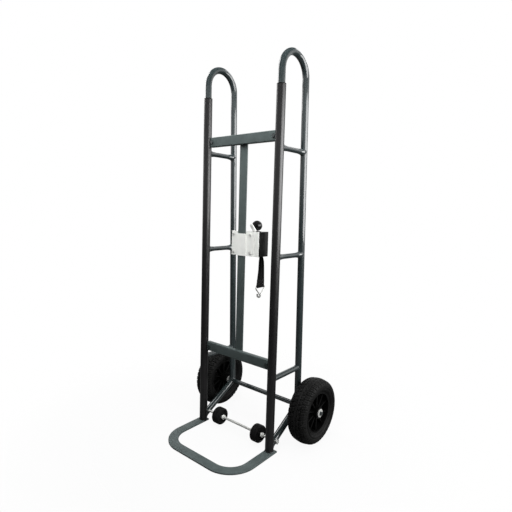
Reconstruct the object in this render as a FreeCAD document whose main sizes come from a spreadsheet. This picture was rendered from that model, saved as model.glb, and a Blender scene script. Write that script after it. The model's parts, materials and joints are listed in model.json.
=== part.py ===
"""Appliance hand truck with a strap winder, two main wheels and two small rollers.

Millimetres, +Z up. The truck stands on the floor at Z = 0, X runs from the left rail to the
right rail, and the toe plate points to -Y. The origin is the middle of the footprint.
"""
import FreeCAD
import Part
import Sketcher
import math
import os

DIMENSIONS = {
    # Side frames: an upright rail and one bent tube that makes handle, rear leg and brace
    "overall_height": 1520,
    "rail_spacing": 370,
    "rail_diameter": 33.7,
    "rail_wall": 2,
    "handle_rise": 144,
    "collar_flange": 3,
    "collar_depth": 40,
    "tube_diameter": 26.9,
    "tube_wall": 2,
    "tube_insert": 60,
    "arch_radius": 76.5,
    "bend_radius": 30,
    "weld_gap": 0.05,
    # Rungs between rail and rear leg
    "spindle_flare": 27,
    "spindle_waist": 19,
    "spindle_flare_length": 36,
    "upper_spindle_drop": 216,
    "middle_spindle_drop": 614,
    "rung_height": 293,
    "rung_diameter": 22,
    # Cross channels, bolted to lugs on the rails, and the flat bar that joins them
    "channel_height": 39,
    "channel_depth": 16,
    "channel_wall": 2.5,
    "upper_channel_drop": 173,
    "lower_channel_height": 344,
    "lug_length": 27,
    "lug_height": 30,
    "lug_thickness": 4,
    "lug_bolt_inset": 10,
    "lug_bolt_diameter": 8,
    "lug_bolt_head_width": 13,
    "lug_bolt_head_height": 5.3,
    "lug_nut_height": 6.5,
    "thread_end": 1.5,
    "bar_width": 38,
    "bar_thickness": 5,
    # Toe plate: a flat bar bent to a U
    "toe_reach": 236,
    "toe_tail": 19,
    "toe_overhang": 24,
    "toe_bar_width": 40,
    "toe_thickness": 6,
    "toe_corner_radius": 76,
    # Axle and main wheels
    "axle_offset": 181,
    "axle_diameter": 14,
    "axle_tube_diameter": 20,
    "axle_end": 7,
    "running_gap": 0.05,
    "side_gap": 0.3,
    "washer_diameter": 33,
    "washer_thickness": 3,
    "cotter_diameter": 3.2,
    "cotter_length": 24,
    "wheel_spacing": 520,
    "tyre_diameter": 262,
    "tyre_width": 84,
    "tyre_shoulder": 22,
    "tyre_crown_drop": 3,
    "tyre_side_height": 14,
    "rim_diameter": 164,
    "rim_width": 62,
    "rim_wall": 6,
    "web_thickness": 6,
    "rib_thickness": 5,
    "hub_diameter": 46,
    "hub_outside": 36,
    "wheel_bush_diameter": 20,
    # Rollers behind the toe plate
    "roller_offset": 24,
    "roller_height": 39.5,
    "roller_lift": 5,
    "roller_axle_diameter": 10,
    "roller_spacing": 214,
    "roller_diameter": 70,
    "roller_width": 36,
    "roller_shoulder": 7,
    "roller_bush_diameter": 16,
    "stop_diameter": 19,
    "stop_width": 7,
    "roller_nut_width": 17,
    "roller_nut_height": 8,
    # Winder bracket and reel plate, clamped on the flat bar
    "winder_drop": 576,
    "winder_width_left": 54,
    "bracket_width_right": 60,
    "bracket_height": 98,
    "hat_step": 10,
    "bracket_thickness": 2.5,
    "plate_thickness": 2.5,
    "clamp_screw_spread": 88,
    "clamp_screw_rise": 70,
    "clamp_screw_diameter": 6,
    "clamp_screw_head_width": 10,
    "clamp_screw_head_height": 4,
    # Reel casing and what turns in it
    "reel_offset": 48,
    "casing_width": 72,
    "casing_depth": 57.5,
    "casing_wall": 2.5,
    "boss_diameter": 8,
    "casing_screw_diameter": 4,
    "casing_screw_head_diameter": 7.5,
    "casing_screw_head_height": 2.5,
    "shaft_diameter": 10,
    "ratchet_diameter": 44,
    "ratchet_root_diameter": 36,
    "ratchet_thickness": 4.5,
    "ratchet_gap": 0.5,
    "spool_core_diameter": 20,
    "spool_flange_diameter": 62,
    "spool_flange_thickness": 1.5,
    "strap_roll_diameter": 58,
    "pawl_thickness": 2.7,
    "pawl_reach": 22,
    "pawl_drop": 21,
    "pawl_tail": 23,
    "pawl_arm_height": 5,
    "pawl_boss_diameter": 10,
    "pawl_pin_diameter": 5,
    "pawl_nose_gap": 0.35,
    "pawl_slot_height": 24,
    "spring_diameter": 9,
    "spring_height": 1.6,
    # Crank
    "crank_radius": 88,
    "crank_angle": 129,
    "crank_width": 14,
    "crank_thickness": 4,
    "crank_nut_width": 16,
    "crank_nut_height": 7,
    "stud_diameter": 8,
    "stud_length": 33,
    "knob_diameter": 43,
    "knob_flat": 13,
    # Strap end and wire hook
    "strap_width": 45,
    "strap_thickness": 1.2,
    "strap_drop": 170,
    "strap_exit": 25,
    "strap_roll_gap": 0.8,
    "strap_neck_width": 12,
    "strap_seam": 26,
    "seam_inset": 0.3,
    "throat_length": 16,
    "throat_width": 13,
    "hook_wire": 4.5,
    "hook_loop_gap": 0.3,
    "hook_bar_overhang": 7,
    "hook_bend_radius": 3.6,
    "hook_drop": 46,
    "hook_curl_radius": 6.5,
    "hook_tip_rise": 6,
    "cut_overrun": 5,
}

TOOTH_COUNT = 12
RIB_COUNT = 10
PLEAT_COUNT = 4
CORNER_STEPS = 30
# The ribs' depth in the rim, and where the pawl's nose begins under the ratchet wheel
RIB_DEPTH_SHARE = 0.7
PAWL_HEEL_SHARE = 0.5
PAWL_NOSE_SHARE = 0.16

doc = FreeCAD.newDocument("hand_truck")
sheet = doc.addObject("Spreadsheet::Sheet", "dims")
for row, (alias, number) in enumerate(DIMENSIONS.items(), start=1):
    sheet.set(f"A{row}", alias)
    sheet.set(f"B{row}", str(number))
    sheet.setAlias(f"B{row}", alias)
doc.recompute()


class Size:
    """A length that knows its value and its formula on the sheet."""

    def __init__(self, value, formula):
        self.value = value
        self.formula = formula

    def __add__(self, other):
        other = as_size(other)
        return Size(self.value + other.value, f"({self.formula} + {other.formula})")

    def __sub__(self, other):
        other = as_size(other)
        return Size(self.value - other.value, f"({self.formula} - {other.formula})")

    def __mul__(self, other):
        other = as_size(other)
        return Size(self.value * other.value, f"({self.formula} * {other.formula})")

    def __truediv__(self, other):
        other = as_size(other)
        return Size(self.value / other.value, f"({self.formula} / {other.formula})")

    def __neg__(self):
        return self * -1


def as_size(thing):
    """Let plain numbers stand beside sizes in a sum."""
    if isinstance(thing, Size):
        return thing
    return Size(float(thing), f"({float(thing)!r})")


class Dims:
    """The sheet's cells as sizes."""

    def __getattr__(self, alias):
        return Size(float(sheet.get(alias)), f"dims.{alias}")


d = Dims()
ZERO = as_size(0)
X_AXIS = FreeCAD.Vector(1, 0, 0)
Y_AXIS = FreeCAD.Vector(0, 1, 0)
Z_AXIS = FreeCAD.Vector(0, 0, 1)
STRAIGHT = FreeCAD.Rotation()
# How a cylinder, made along Z, is turned to another axis
CYLINDER_TURNS = {
    "X": FreeCAD.Rotation(Y_AXIS, 90),
    "Y": FreeCAD.Rotation(X_AXIS, -90),
    "Z": STRAIGHT,
}
# How a turned body, made about X, is turned to another axis
LATHE_TURNS = {
    "X": STRAIGHT,
    "-X": FreeCAD.Rotation(Z_AXIS, 180),
    "Y": FreeCAD.Rotation(Z_AXIS, 90),
    "Z": FreeCAD.Rotation(Y_AXIS, -90),
}
# A flat outline stood up in the XZ plane, with its thickness towards -Y
STANDING = FreeCAD.Rotation(X_AXIS, 90)
SIDES = (("left", -1), ("right", 1))

nodes = []
scratch_count = 0


def scratch_name():
    """Give a helper object a name of its own."""
    global scratch_count
    scratch_count += 1
    return f"step_{scratch_count}"


def node(thing, name):
    """Name a finished sub-part and keep it for the export."""
    thing.Label = name
    nodes.append(thing)
    return thing


def bind(thing, **sizes):
    """Bind properties of an object to the sheet."""
    for prop, value in sizes.items():
        thing.setExpression(prop, as_size(value).formula)


def place(thing, x, y, z, turn=STRAIGHT):
    """Turn an object and bind its position to the sheet."""
    thing.Placement = FreeCAD.Placement(FreeCAD.Vector(), turn)
    for axis, value in zip("xyz", (x, y, z)):
        thing.setExpression(f"Placement.Base.{axis}", as_size(value).formula)
    return thing


def cylinder(radius, length, x, y, z, axis):
    thing = doc.addObject("Part::Cylinder", scratch_name())
    bind(thing, Radius=radius, Height=length)
    return place(thing, x, y, z, CYLINDER_TURNS[axis])


def box(x_range, y_range, z_range):
    thing = doc.addObject("Part::Box", scratch_name())
    bind(thing, Length=x_range[1] - x_range[0])
    bind(thing, Width=y_range[1] - y_range[0])
    bind(thing, Height=z_range[1] - z_range[0])
    return place(thing, x_range[0], y_range[0], z_range[0])


def hexagon(across_flats, length, x, y, z, axis):
    thing = doc.addObject("Part::Prism", scratch_name())
    thing.Polygon = 6
    bind(thing, Circumradius=across_flats / math.sqrt(3), Height=length)
    return place(thing, x, y, z, CYLINDER_TURNS[axis])


def fused(*things):
    thing = doc.addObject("Part::MultiFuse", scratch_name())
    thing.Shapes = list(things)
    return thing


def cut(base, *tools):
    thing = doc.addObject("Part::Cut", scratch_name())
    thing.Base = base
    thing.Tool = tools[0] if len(tools) == 1 else fused(*tools)
    return thing


def group(*things):
    thing = doc.addObject("Part::Compound", scratch_name())
    thing.Links = list(things)
    return thing


def made(shape):
    """A sub-part whose shape needs sweeps or lofts of its own."""
    thing = doc.addObject("Part::Feature", scratch_name())
    thing.Shape = shape
    return thing


def arc_between(start, finish, radius, side):
    """The short arc between two points; side 1 turns left, -1 turns right."""
    chord = finish - start
    half = chord.Length / 2
    left = FreeCAD.Vector(-chord.y, chord.x) / chord.Length
    centre = start + chord / 2 + left * side * math.sqrt(max(radius ** 2 - half ** 2, 0))
    first, last = (start, finish) if side > 0 else (finish, start)
    angles = [math.atan2(point.y - centre.y, point.x - centre.x) for point in (first, last)]
    return Part.ArcOfCircle(Part.Circle(centre, Z_AXIS, radius), *angles)


def draw(sketch, points, arcs):
    """Draw a closed outline with its corners and arc radii bound to the sheet."""
    corners = [FreeCAD.Vector(u.value, v.value) for u, v in points]
    starts = []
    for index, start in enumerate(corners):
        finish = corners[(index + 1) % len(corners)]
        if index in arcs:
            radius, side = arcs[index]
            sketch.addGeometry(arc_between(start, finish, radius.value, side), False)
            starts.append(1 if side > 0 else 2)
        else:
            sketch.addGeometry(Part.LineSegment(start, finish), False)
            starts.append(1)
    for index, begin in enumerate(starts):
        after = (index + 1) % len(starts)
        sketch.addConstraint(Sketcher.Constraint("Coincident", index, 3 - begin, after, starts[after]))
    for index, (u, v) in enumerate(points):
        for kind, value, zero_axis in (("DistanceX", u, -2), ("DistanceY", v, -1)):
            if value.formula == ZERO.formula:
                sketch.addConstraint(Sketcher.Constraint("PointOnObject", index, starts[index], zero_axis))
                continue
            place_it = Sketcher.Constraint(kind, -1, 1, index, starts[index], value.value)
            number = sketch.addConstraint(place_it)
            sketch.setExpression(f"Constraints[{number}]", value.formula)
    for index, (radius, side) in arcs.items():
        number = sketch.addConstraint(Sketcher.Constraint("Radius", index, radius.value))
        sketch.setExpression(f"Constraints[{number}]", radius.formula)


def sketched_body(points, arcs):
    """A body with one outline on its XY plane."""
    body = doc.addObject("PartDesign::Body", scratch_name())
    sketch = body.newObject("Sketcher::SketchObject", f"{body.Name}_outline")
    plane = [item for item in body.Origin.OriginFeatures if item.Role == "XY_Plane"][0]
    sketch.AttachmentSupport = [(plane, "")]
    sketch.MapMode = "FlatFace"
    draw(sketch, points, arcs)
    return body, sketch


def turned(points, x, y, z, axis, arcs=None):
    """Revolve an outline of (along, radius) points about an axis."""
    body, sketch = sketched_body(points, arcs or {})
    revolution = body.newObject("PartDesign::Revolution", f"{body.Name}_turn")
    revolution.Profile = sketch
    revolution.ReferenceAxis = (sketch, ["H_Axis"])
    revolution.Angle = 360
    body.Tip = revolution
    return place(body, x, y, z, LATHE_TURNS[axis])


def padded(points, thickness, x, y, z, turn=STRAIGHT, arcs=None):
    """Pad a flat outline."""
    body, sketch = sketched_body(points, arcs or {})
    pad = body.newObject("PartDesign::Pad", f"{body.Name}_pad")
    pad.Profile = sketch
    bind(pad, Length=thickness)
    body.Tip = pad
    return place(body, x, y, z, turn)


def ring(inner_radius, outer_radius, length, x, y, z, axis):
    """A plain washer, bush or tube."""
    points = [(ZERO, inner_radius), (length, inner_radius), (length, outer_radius), (ZERO, outer_radius)]
    return turned(points, x, y, z, axis)


# Places that several sub-parts share
rail_x = d.rail_spacing / 2
rail_radius = d.rail_diameter / 2
tube_radius = d.tube_diameter / 2
axle_height = d.tyre_diameter / 2
rail_y = (d.toe_reach - d.axle_offset - axle_height) / 2
rail_top = d.overall_height - d.handle_rise
upper_spindle_height = rail_top - d.upper_spindle_drop
middle_spindle_height = rail_top - d.middle_spindle_drop
upper_channel_height = rail_top - d.upper_channel_drop
winder_height = rail_top - d.winder_drop
axle_y = rail_y + d.axle_offset
roller_y = rail_y + d.roller_offset
arch_height = d.overall_height - tube_radius - d.arch_radius
over = d.cut_overrun


def rear_leg_offset(height):
    """How far the rear leg's middle stands behind the rail at a height."""
    spread = d.axle_offset - d.arch_radius * 2
    return d.arch_radius * 2 + spread * (arch_height - height) / (arch_height - axle_height)


# Rails and the collars that close their tops round the handle tubes

def rail(sign):
    outside = cylinder(rail_radius, rail_top - d.toe_thickness, rail_x * sign, rail_y, d.toe_thickness, "Z")
    bore = cylinder(rail_radius - d.rail_wall, rail_top - d.toe_thickness + over * 2,
                    rail_x * sign, rail_y, d.toe_thickness - over, "Z")
    return cut(outside, bore)


def rail_collar(sign):
    hole = tube_radius + d.weld_gap
    neck = rail_radius - d.rail_wall - d.weld_gap
    points = [(-d.collar_depth, hole), (d.collar_flange, hole), (d.collar_flange, rail_radius),
              (ZERO, rail_radius), (ZERO, neck), (-d.collar_depth, neck)]
    return turned(points, rail_x * sign, rail_y, rail_top, "Z")


# Side tube: front leg in the rail, handle arch, rear leg, bend at the axle, brace to the rail's foot

def corner_at_axle():
    """Where rear leg and brace would meet, so that the bend between them is centred on the axle."""
    axle = FreeCAD.Vector(0, d.axle_offset.value, axle_height.value)
    roller = FreeCAD.Vector(0, d.roller_offset.value, (d.roller_height - d.roller_lift).value)
    arch = FreeCAD.Vector(0, d.arch_radius.value, arch_height.value)
    corner = axle
    for step in range(CORNER_STEPS):
        reach = corner - arch
        lean = math.acos(d.arch_radius.value / reach.Length) - math.atan2(-reach.z, reach.y)
        down = FreeCAD.Vector(0, math.sin(lean), -math.cos(lean))
        brace = (roller - corner).normalize()
        turn = down.getAngle(brace)
        inward = (brace - down).normalize()
        corner = axle - inward * d.bend_radius.value * (1 / math.cos(turn / 2) - 1)
    return corner, down, brace, turn, inward, lean


def side_path(sign):
    """The tube's middle line, as straight runs and tangent arcs."""
    corner, down, brace, turn, inward, lean = corner_at_axle()
    rail_line = FreeCAD.Vector(rail_x.value * sign, rail_y.value, 0)
    radius = d.arch_radius.value
    arch = FreeCAD.Vector(0, radius, arch_height.value)
    start = FreeCAD.Vector(0, 0, rail_top.value - d.tube_insert.value)
    arch_start = FreeCAD.Vector(0, 0, arch_height.value)
    arch_top = arch + Z_AXIS * radius
    arch_end = arch + FreeCAD.Vector(0, math.cos(lean), math.sin(lean)) * radius
    tangent = d.bend_radius.value * math.tan(turn / 2)
    bend_start = corner - down * tangent
    bend_end = corner + brace * tangent
    bend_middle = corner + inward * d.bend_radius.value * (1 / math.cos(turn / 2) - 1)
    foot = corner + brace * (corner.y / -brace.y)
    start, arch_start, arch_top, arch_end, bend_start, bend_middle, bend_end, foot = (
        point + rail_line for point in
        (start, arch_start, arch_top, arch_end, bend_start, bend_middle, bend_end, foot))
    return Part.Wire([
        Part.LineSegment(start, arch_start).toShape(),
        Part.Arc(arch_start, arch_top, arch_end).toShape(),
        Part.LineSegment(arch_end, bend_start).toShape(),
        Part.Arc(bend_start, bend_middle, bend_end).toShape(),
        Part.LineSegment(bend_end, foot).toShape(),
    ])


def swept(path, radius, direction):
    """A round bar along a path that starts in a given direction."""
    start = path.OrderedVertexes[0].Point
    section = Part.Wire([Part.makeCircle(radius, start, direction)])
    return path.makePipeShell([section], True, True)


def side_tube(sign):
    """The bent tube, mitred to the rail's foot and drilled for both axles."""
    path = side_path(sign)
    tube = swept(path, tube_radius.value, Z_AXIS).cut(swept(path, (tube_radius - d.tube_wall).value, Z_AXIS))
    left_end = FreeCAD.Vector(-d.wheel_spacing.value, axle_y.value, axle_height.value)
    length = d.wheel_spacing.value * 2
    axle_hole = Part.makeCylinder((d.axle_diameter / 2 + d.weld_gap).value, length, left_end, X_AXIS)
    left_end = FreeCAD.Vector(-d.wheel_spacing.value, roller_y.value, d.roller_height.value)
    roller_hole = Part.makeCylinder((d.roller_axle_diameter / 2 + d.weld_gap).value, length, left_end, X_AXIS)
    foot = FreeCAD.Vector(rail_x.value * sign, rail_y.value, 0)
    rail_foot = Part.makeCylinder((rail_radius + d.weld_gap).value, axle_height.value, foot, Z_AXIS)
    return made(tube.cut([axle_hole, roller_hole, rail_foot]))


def tube_envelope(sign):
    """The side tube's outside, a hair larger, to cope the ends of what is welded to it."""
    return made(swept(side_path(sign), (tube_radius + d.weld_gap).value, Z_AXIS))


def rail_envelope(sign):
    return cylinder(rail_radius + d.weld_gap, rail_top, rail_x * sign, rail_y, ZERO, "Z")


def spindle(sign, height, rail_tool, tube_tool):
    """A waisted rung with flared ends, coped to rail and rear leg."""
    flare = d.spindle_flare / 2
    waist = d.spindle_waist / 2
    run = d.spindle_flare_length
    drop = flare - waist
    sweep = (run * run + drop * drop) / (drop * 2)
    end = rear_leg_offset(height)
    back = end - tube_radius
    points = [(ZERO, ZERO), (end, ZERO), (end, flare), (back, flare), (back - run, waist),
              (rail_radius + run, waist), (rail_radius, flare), (ZERO, flare)]
    body = turned(points, rail_x * sign, rail_y, height, "Y", {3: (sweep, -1), 5: (sweep, -1)})
    return cut(body, rail_tool, tube_tool)


def lower_rung(sign, rail_tool, tube_tool):
    bar = cylinder(d.rung_diameter / 2, rear_leg_offset(d.rung_height),
                   rail_x * sign, rail_y, d.rung_height, "Y")
    return cut(bar, rail_tool, tube_tool)


envelopes = []
for side, sign in SIDES:
    node(rail(sign), f"{side}_rail")
    node(rail_collar(sign), f"{side}_rail_collar")
    node(side_tube(sign), f"{side}_side_tube")
    envelopes.append((rail_envelope(sign), tube_envelope(sign)))
    node(spindle(sign, upper_spindle_height, *envelopes[-1]), f"{side}_upper_spindle")
    node(spindle(sign, middle_spindle_height, *envelopes[-1]), f"{side}_middle_spindle")
    node(lower_rung(sign, *envelopes[-1]), f"{side}_lower_rung")


# Cross channels, their lugs and bolts, and the flat centre bar

channel_back = rail_y + d.channel_depth
lug_front = rail_y + d.channel_wall
bolt_x = rail_x - rail_radius - d.lug_bolt_inset
CHANNEL_HEIGHTS = (upper_channel_height, d.lower_channel_height)
BOLT_PLACES = [(bolt_x * sign, height) for height in CHANNEL_HEIGHTS for side, sign in SIDES]


def bolt_hole(x, height):
    return cylinder(d.lug_bolt_diameter / 2 + d.weld_gap, d.channel_depth + over,
                    x, rail_y - over, height, "Y")


def cross_channel(height):
    end = rail_x - rail_radius - d.weld_gap
    half = d.channel_height / 2
    outside = box((-end, end), (rail_y, channel_back), (height - half, height + half))
    inside = half - d.channel_wall
    hollow = box((-end - over, end + over), (lug_front, channel_back + over),
                 (height - inside, height + inside))
    return cut(outside, hollow, *(bolt_hole(bolt_x * sign, height) for side, sign in SIDES))


def rail_lug(sign, height):
    inner = rail_x - rail_radius - d.lug_length
    x_range = (inner, rail_x) if sign > 0 else (-rail_x, -inner)
    half = d.lug_height / 2
    plate = box(x_range, (lug_front, lug_front + d.lug_thickness), (height - half, height + half))
    return cut(plate, rail_envelope(sign), bolt_hole(bolt_x * sign, height))


def lug_bolt(x, height):
    head = hexagon(d.lug_bolt_head_width, d.lug_bolt_head_height,
                   x, rail_y - d.lug_bolt_head_height, height, "Y")
    grip = d.channel_wall + d.lug_thickness + d.lug_nut_height + d.thread_end
    shank = cylinder(d.lug_bolt_diameter / 2, grip, x, rail_y, height, "Y")
    return fused(head, shank)


def lug_nut(x, height):
    body = hexagon(d.lug_bolt_head_width, d.lug_nut_height, x, lug_front + d.lug_thickness, height, "Y")
    return cut(body, bolt_hole(x, height))


node(cross_channel(upper_channel_height), "upper_cross_channel")
node(cross_channel(d.lower_channel_height), "lower_cross_channel")
node(group(*(rail_lug(sign, height) for height in CHANNEL_HEIGHTS for side, sign in SIDES)), "rail_lugs")
node(group(*(lug_bolt(x, height) for x, height in BOLT_PLACES)), "lug_bolts")
node(group(*(lug_nut(x, height) for x, height in BOLT_PLACES)), "lug_nuts")

bar_half = d.bar_width / 2
bar_back = channel_back + d.bar_thickness
bar_bottom = d.lower_channel_height - d.channel_height / 2
bar_top = upper_channel_height + d.channel_height / 2
node(box((-bar_half, bar_half), (channel_back, bar_back), (bar_bottom, bar_top)), "centre_bar")


# Toe plate

def toe_plate():
    outer = rail_x + d.toe_overhang
    inner = outer - d.toe_bar_width
    front = rail_y - d.toe_reach
    tail = rail_y + d.toe_tail
    inside = front + d.toe_bar_width
    small = d.toe_corner_radius
    large = d.toe_corner_radius + d.toe_bar_width
    points = [(outer, tail), (inner, tail), (inner, inside + small), (inner - small, inside),
              (small - inner, inside), (-inner, inside + small), (-inner, tail), (-outer, tail),
              (-outer, front + large), (large - outer, front), (outer - large, front), (outer, front + large)]
    arcs = {2: (small, -1), 4: (small, -1), 8: (large, 1), 10: (large, 1)}
    return padded(points, d.toe_thickness, ZERO, ZERO, ZERO, arcs=arcs)


node(toe_plate(), "toe_plate")


# Axle, its cross tube, washers and cotters

washer_inner = rail_x + tube_radius + d.side_gap
hub_inner = washer_inner + d.washer_thickness + d.side_gap
wheel_x = d.wheel_spacing / 2
hub_outer = wheel_x + d.hub_outside
washer_outer = hub_outer + d.side_gap
axle_tip = washer_outer + d.washer_thickness + d.axle_end
cotter_x = washer_outer + d.washer_thickness + d.cotter_diameter / 2 + d.side_gap
axle_radius = d.axle_diameter / 2


def axle_tube():
    points = [(-rail_x, axle_radius + d.weld_gap), (rail_x, axle_radius + d.weld_gap),
              (rail_x, d.axle_tube_diameter / 2), (-rail_x, d.axle_tube_diameter / 2)]
    body = turned(points, ZERO, axle_y, axle_height, "X")
    return cut(body, *(tube_tool for rail_tool, tube_tool in envelopes))


def cotter(sign, clearance):
    return cylinder(d.cotter_diameter / 2 + clearance, d.cotter_length, cotter_x * sign, axle_y,
                    axle_height - d.cotter_length / 2, "Z")


def axle():
    rod = cylinder(axle_radius, axle_tip * 2, -axle_tip, axle_y, axle_height, "X")
    return cut(rod, *(cotter(sign, d.weld_gap) for side, sign in SIDES))


def axle_washer(inner_end):
    return ring(axle_radius + d.running_gap, d.washer_diameter / 2, d.washer_thickness,
                inner_end, axle_y, axle_height, "X")


node(axle_tube(), "axle_tube")
node(axle(), "axle")
washer_places = (washer_inner, washer_outer,
                 -washer_inner - d.washer_thickness, -washer_outer - d.washer_thickness)
node(group(*(axle_washer(place_x) for place_x in washer_places)), "axle_washers")
node(group(*(cotter(sign, ZERO) for side, sign in SIDES)), "axle_cotters")


# Main wheels, drawn about the wheel's middle with the hub's long end towards the frame

hub_inside = wheel_x - hub_inner
rim_radius = d.rim_diameter / 2
rim_inside = rim_radius - d.rim_wall
hub_radius = d.hub_diameter / 2
bush_radius = d.wheel_bush_diameter / 2


def tyre(sign, axis):
    half = d.tyre_width / 2
    seat = rim_radius + d.weld_gap
    crown = d.tyre_diameter / 2 - d.tyre_crown_drop
    side = rim_radius + d.tyre_side_height
    bead = d.rim_width / 2
    shoulder = d.tyre_shoulder
    flat = half - shoulder
    drop = d.tyre_crown_drop
    crown_sweep = (flat * flat + drop * drop) / (drop * 2)
    points = [(-bead, seat), (bead, seat), (half, side), (half, crown - shoulder), (flat, crown),
              (-flat, crown), (-half, crown - shoulder), (-half, side)]
    arcs = {3: (shoulder, 1), 4: (crown_sweep, 1), 5: (shoulder, 1)}
    return turned(points, wheel_x * sign, axle_y, axle_height, axis, arcs)


def rim(sign, axis):
    bore = bush_radius + d.weld_gap
    barrel = d.rim_width / 2
    web = d.web_thickness / 2
    points = [(-hub_inside, bore), (d.hub_outside, bore), (d.hub_outside, hub_radius), (web, hub_radius),
              (web, rim_inside), (barrel, rim_inside), (barrel, rim_radius), (-barrel, rim_radius),
              (-barrel, rim_inside), (-web, rim_inside), (-web, hub_radius), (-hub_inside, hub_radius)]
    body = turned(points, ZERO, ZERO, ZERO, "X")
    ribs = [rim_rib(360 * count / RIB_COUNT) for count in range(RIB_COUNT)]
    return place(fused(body, *ribs), wheel_x * sign, axle_y, axle_height, LATHE_TURNS[axis])


def rim_rib(angle):
    """A radial rib on both faces of the web, from hub to rim."""
    span = rim_inside - hub_radius + d.rim_wall
    depth = d.rim_width * RIB_DEPTH_SHARE
    thing = doc.addObject("Part::Box", scratch_name())
    bind(thing, Length=depth, Width=d.rib_thickness, Height=span)
    start = FreeCAD.Placement(FreeCAD.Vector(), FreeCAD.Rotation(X_AXIS, angle))
    spoke = group(place(thing, -depth / 2, -d.rib_thickness / 2, hub_radius - d.rim_wall / 2))
    spoke.Placement = start
    return spoke


def wheel_bush(sign, axis):
    end = hub_inside + d.hub_outside
    points = [(ZERO, axle_radius + d.running_gap), (end, axle_radius + d.running_gap),
              (end, bush_radius), (ZERO, bush_radius)]
    return turned(points, hub_inner * sign, axle_y, axle_height, axis)


for (side, sign), axis in zip(SIDES, ("-X", "X")):
    node(tyre(sign, axis), f"{side}_tyre")
    node(rim(sign, axis), f"{side}_rim")
    node(wheel_bush(sign, axis), f"{side}_wheel_bush")


# Rollers on a thin axle through both braces

roller_axle_radius = d.roller_axle_diameter / 2
nut_inner = rail_x + tube_radius + d.side_gap
roller_axle_end = nut_inner + d.roller_nut_height + d.thread_end


def roller(sign):
    half = d.roller_width / 2
    bore = d.roller_bush_diameter / 2 + d.weld_gap
    radius = d.roller_diameter / 2
    shoulder = d.roller_shoulder
    points = [(-half, bore), (half, bore), (half, radius - shoulder), (half - shoulder, radius),
              (shoulder - half, radius), (-half, radius - shoulder)]
    return turned(points, d.roller_spacing / 2 * sign, roller_y, d.roller_height, "X",
                  {2: (shoulder, 1), 4: (shoulder, 1)})


def roller_bush(sign):
    return ring(roller_axle_radius + d.running_gap, d.roller_bush_diameter / 2, d.roller_width,
                d.roller_spacing / 2 * sign - d.roller_width / 2, roller_y, d.roller_height, "X")


def roller_stop(sign, end):
    """A collar fixed on the axle beside a roller."""
    middle = d.roller_spacing / 2 * sign + (d.roller_width / 2 + d.side_gap + d.stop_width / 2) * end
    return ring(roller_axle_radius + d.weld_gap, d.stop_diameter / 2, d.stop_width,
                middle - d.stop_width / 2, roller_y, d.roller_height, "X")


def roller_nut(sign):
    start = nut_inner if sign > 0 else -nut_inner - d.roller_nut_height
    body = hexagon(d.roller_nut_width, d.roller_nut_height, start, roller_y, d.roller_height, "X")
    bore = cylinder(roller_axle_radius + d.weld_gap, d.roller_nut_height + over * 2, start - over,
                    roller_y, d.roller_height, "X")
    return cut(body, bore)


for side, sign in SIDES:
    node(roller(sign), f"{side}_roller")
    node(roller_bush(sign), f"{side}_roller_bush")
node(cylinder(roller_axle_radius, roller_axle_end * 2, -roller_axle_end, roller_y, d.roller_height, "X"),
     "roller_axle")
node(group(*(roller_stop(sign, end) for side, sign in SIDES for end in (-1, 1))), "roller_stops")
node(group(*(roller_nut(sign) for side, sign in SIDES)), "roller_axle_nuts")


# Winder: hat bracket in front of the bar, reel plate behind it, four screws

plate_back = bar_back + d.plate_thickness
bracket_front = bar_back - d.bracket_thickness
casing_left = d.reel_offset - d.casing_width / 2
casing_right = d.reel_offset + d.casing_width / 2
winder_bottom = winder_height - d.bracket_height / 2
winder_top = winder_height + d.bracket_height / 2
casing_back = plate_back + d.casing_depth
shaft_radius = d.shaft_diameter / 2
CLAMP_PLACES = [(d.clamp_screw_spread / 2 * across, winder_height + d.clamp_screw_rise / 2 * up)
                for across in (-1, 1) for up in (-1, 1)]


def clamp_hole(x, z):
    return cylinder(d.clamp_screw_diameter / 2 + d.weld_gap, plate_back - channel_back + over * 2,
                    x, channel_back - over, z, "Y")


def winder_bracket():
    well = bar_half + d.side_gap
    wall = well + d.bracket_thickness
    top = channel_back - d.bracket_thickness
    left = -d.winder_width_left
    right = d.bracket_width_right
    points = [(left, bar_back), (left, bracket_front), (-wall, bracket_front), (-wall, top), (wall, top),
              (wall, bracket_front), (right, bracket_front), (right, bar_back), (well, bar_back),
              (well, channel_back), (-well, channel_back), (-well, bar_back)]
    hat = padded(points, d.bracket_height, ZERO, ZERO, winder_bottom)
    step = box((-wall, wall), (top - over, plate_back + over), (winder_top - d.hat_step, winder_top + over))
    return cut(hat, step, *(clamp_hole(x, z) for x, z in CLAMP_PLACES))


def reel_plate():
    sheet_metal = box((-d.winder_width_left, casing_right), (bar_back, plate_back),
                      (winder_bottom, winder_top))
    shaft_hole = cylinder(shaft_radius + d.running_gap, d.plate_thickness + over * 2,
                          d.reel_offset, bar_back - over, winder_height, "Y")
    pin_hole = cylinder(d.pawl_pin_diameter / 2 + d.weld_gap, d.plate_thickness + over * 2,
                        pawl_x, bar_back - over, pawl_z, "Y")
    return cut(sheet_metal, shaft_hole, pin_hole, *casing_screw_shanks(d.weld_gap),
               *(clamp_hole(x, z) for x, z in CLAMP_PLACES))


def clamp_screw(x, z):
    head = hexagon(d.clamp_screw_head_width, d.clamp_screw_head_height,
                   x, bracket_front - d.clamp_screw_head_height, z, "Y")
    shank = cylinder(d.clamp_screw_diameter / 2, plate_back - bracket_front, x, bracket_front, z, "Y")
    return fused(head, shank)


# Casing: a box open towards the reel plate, with screw bosses along its top and bottom

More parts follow.
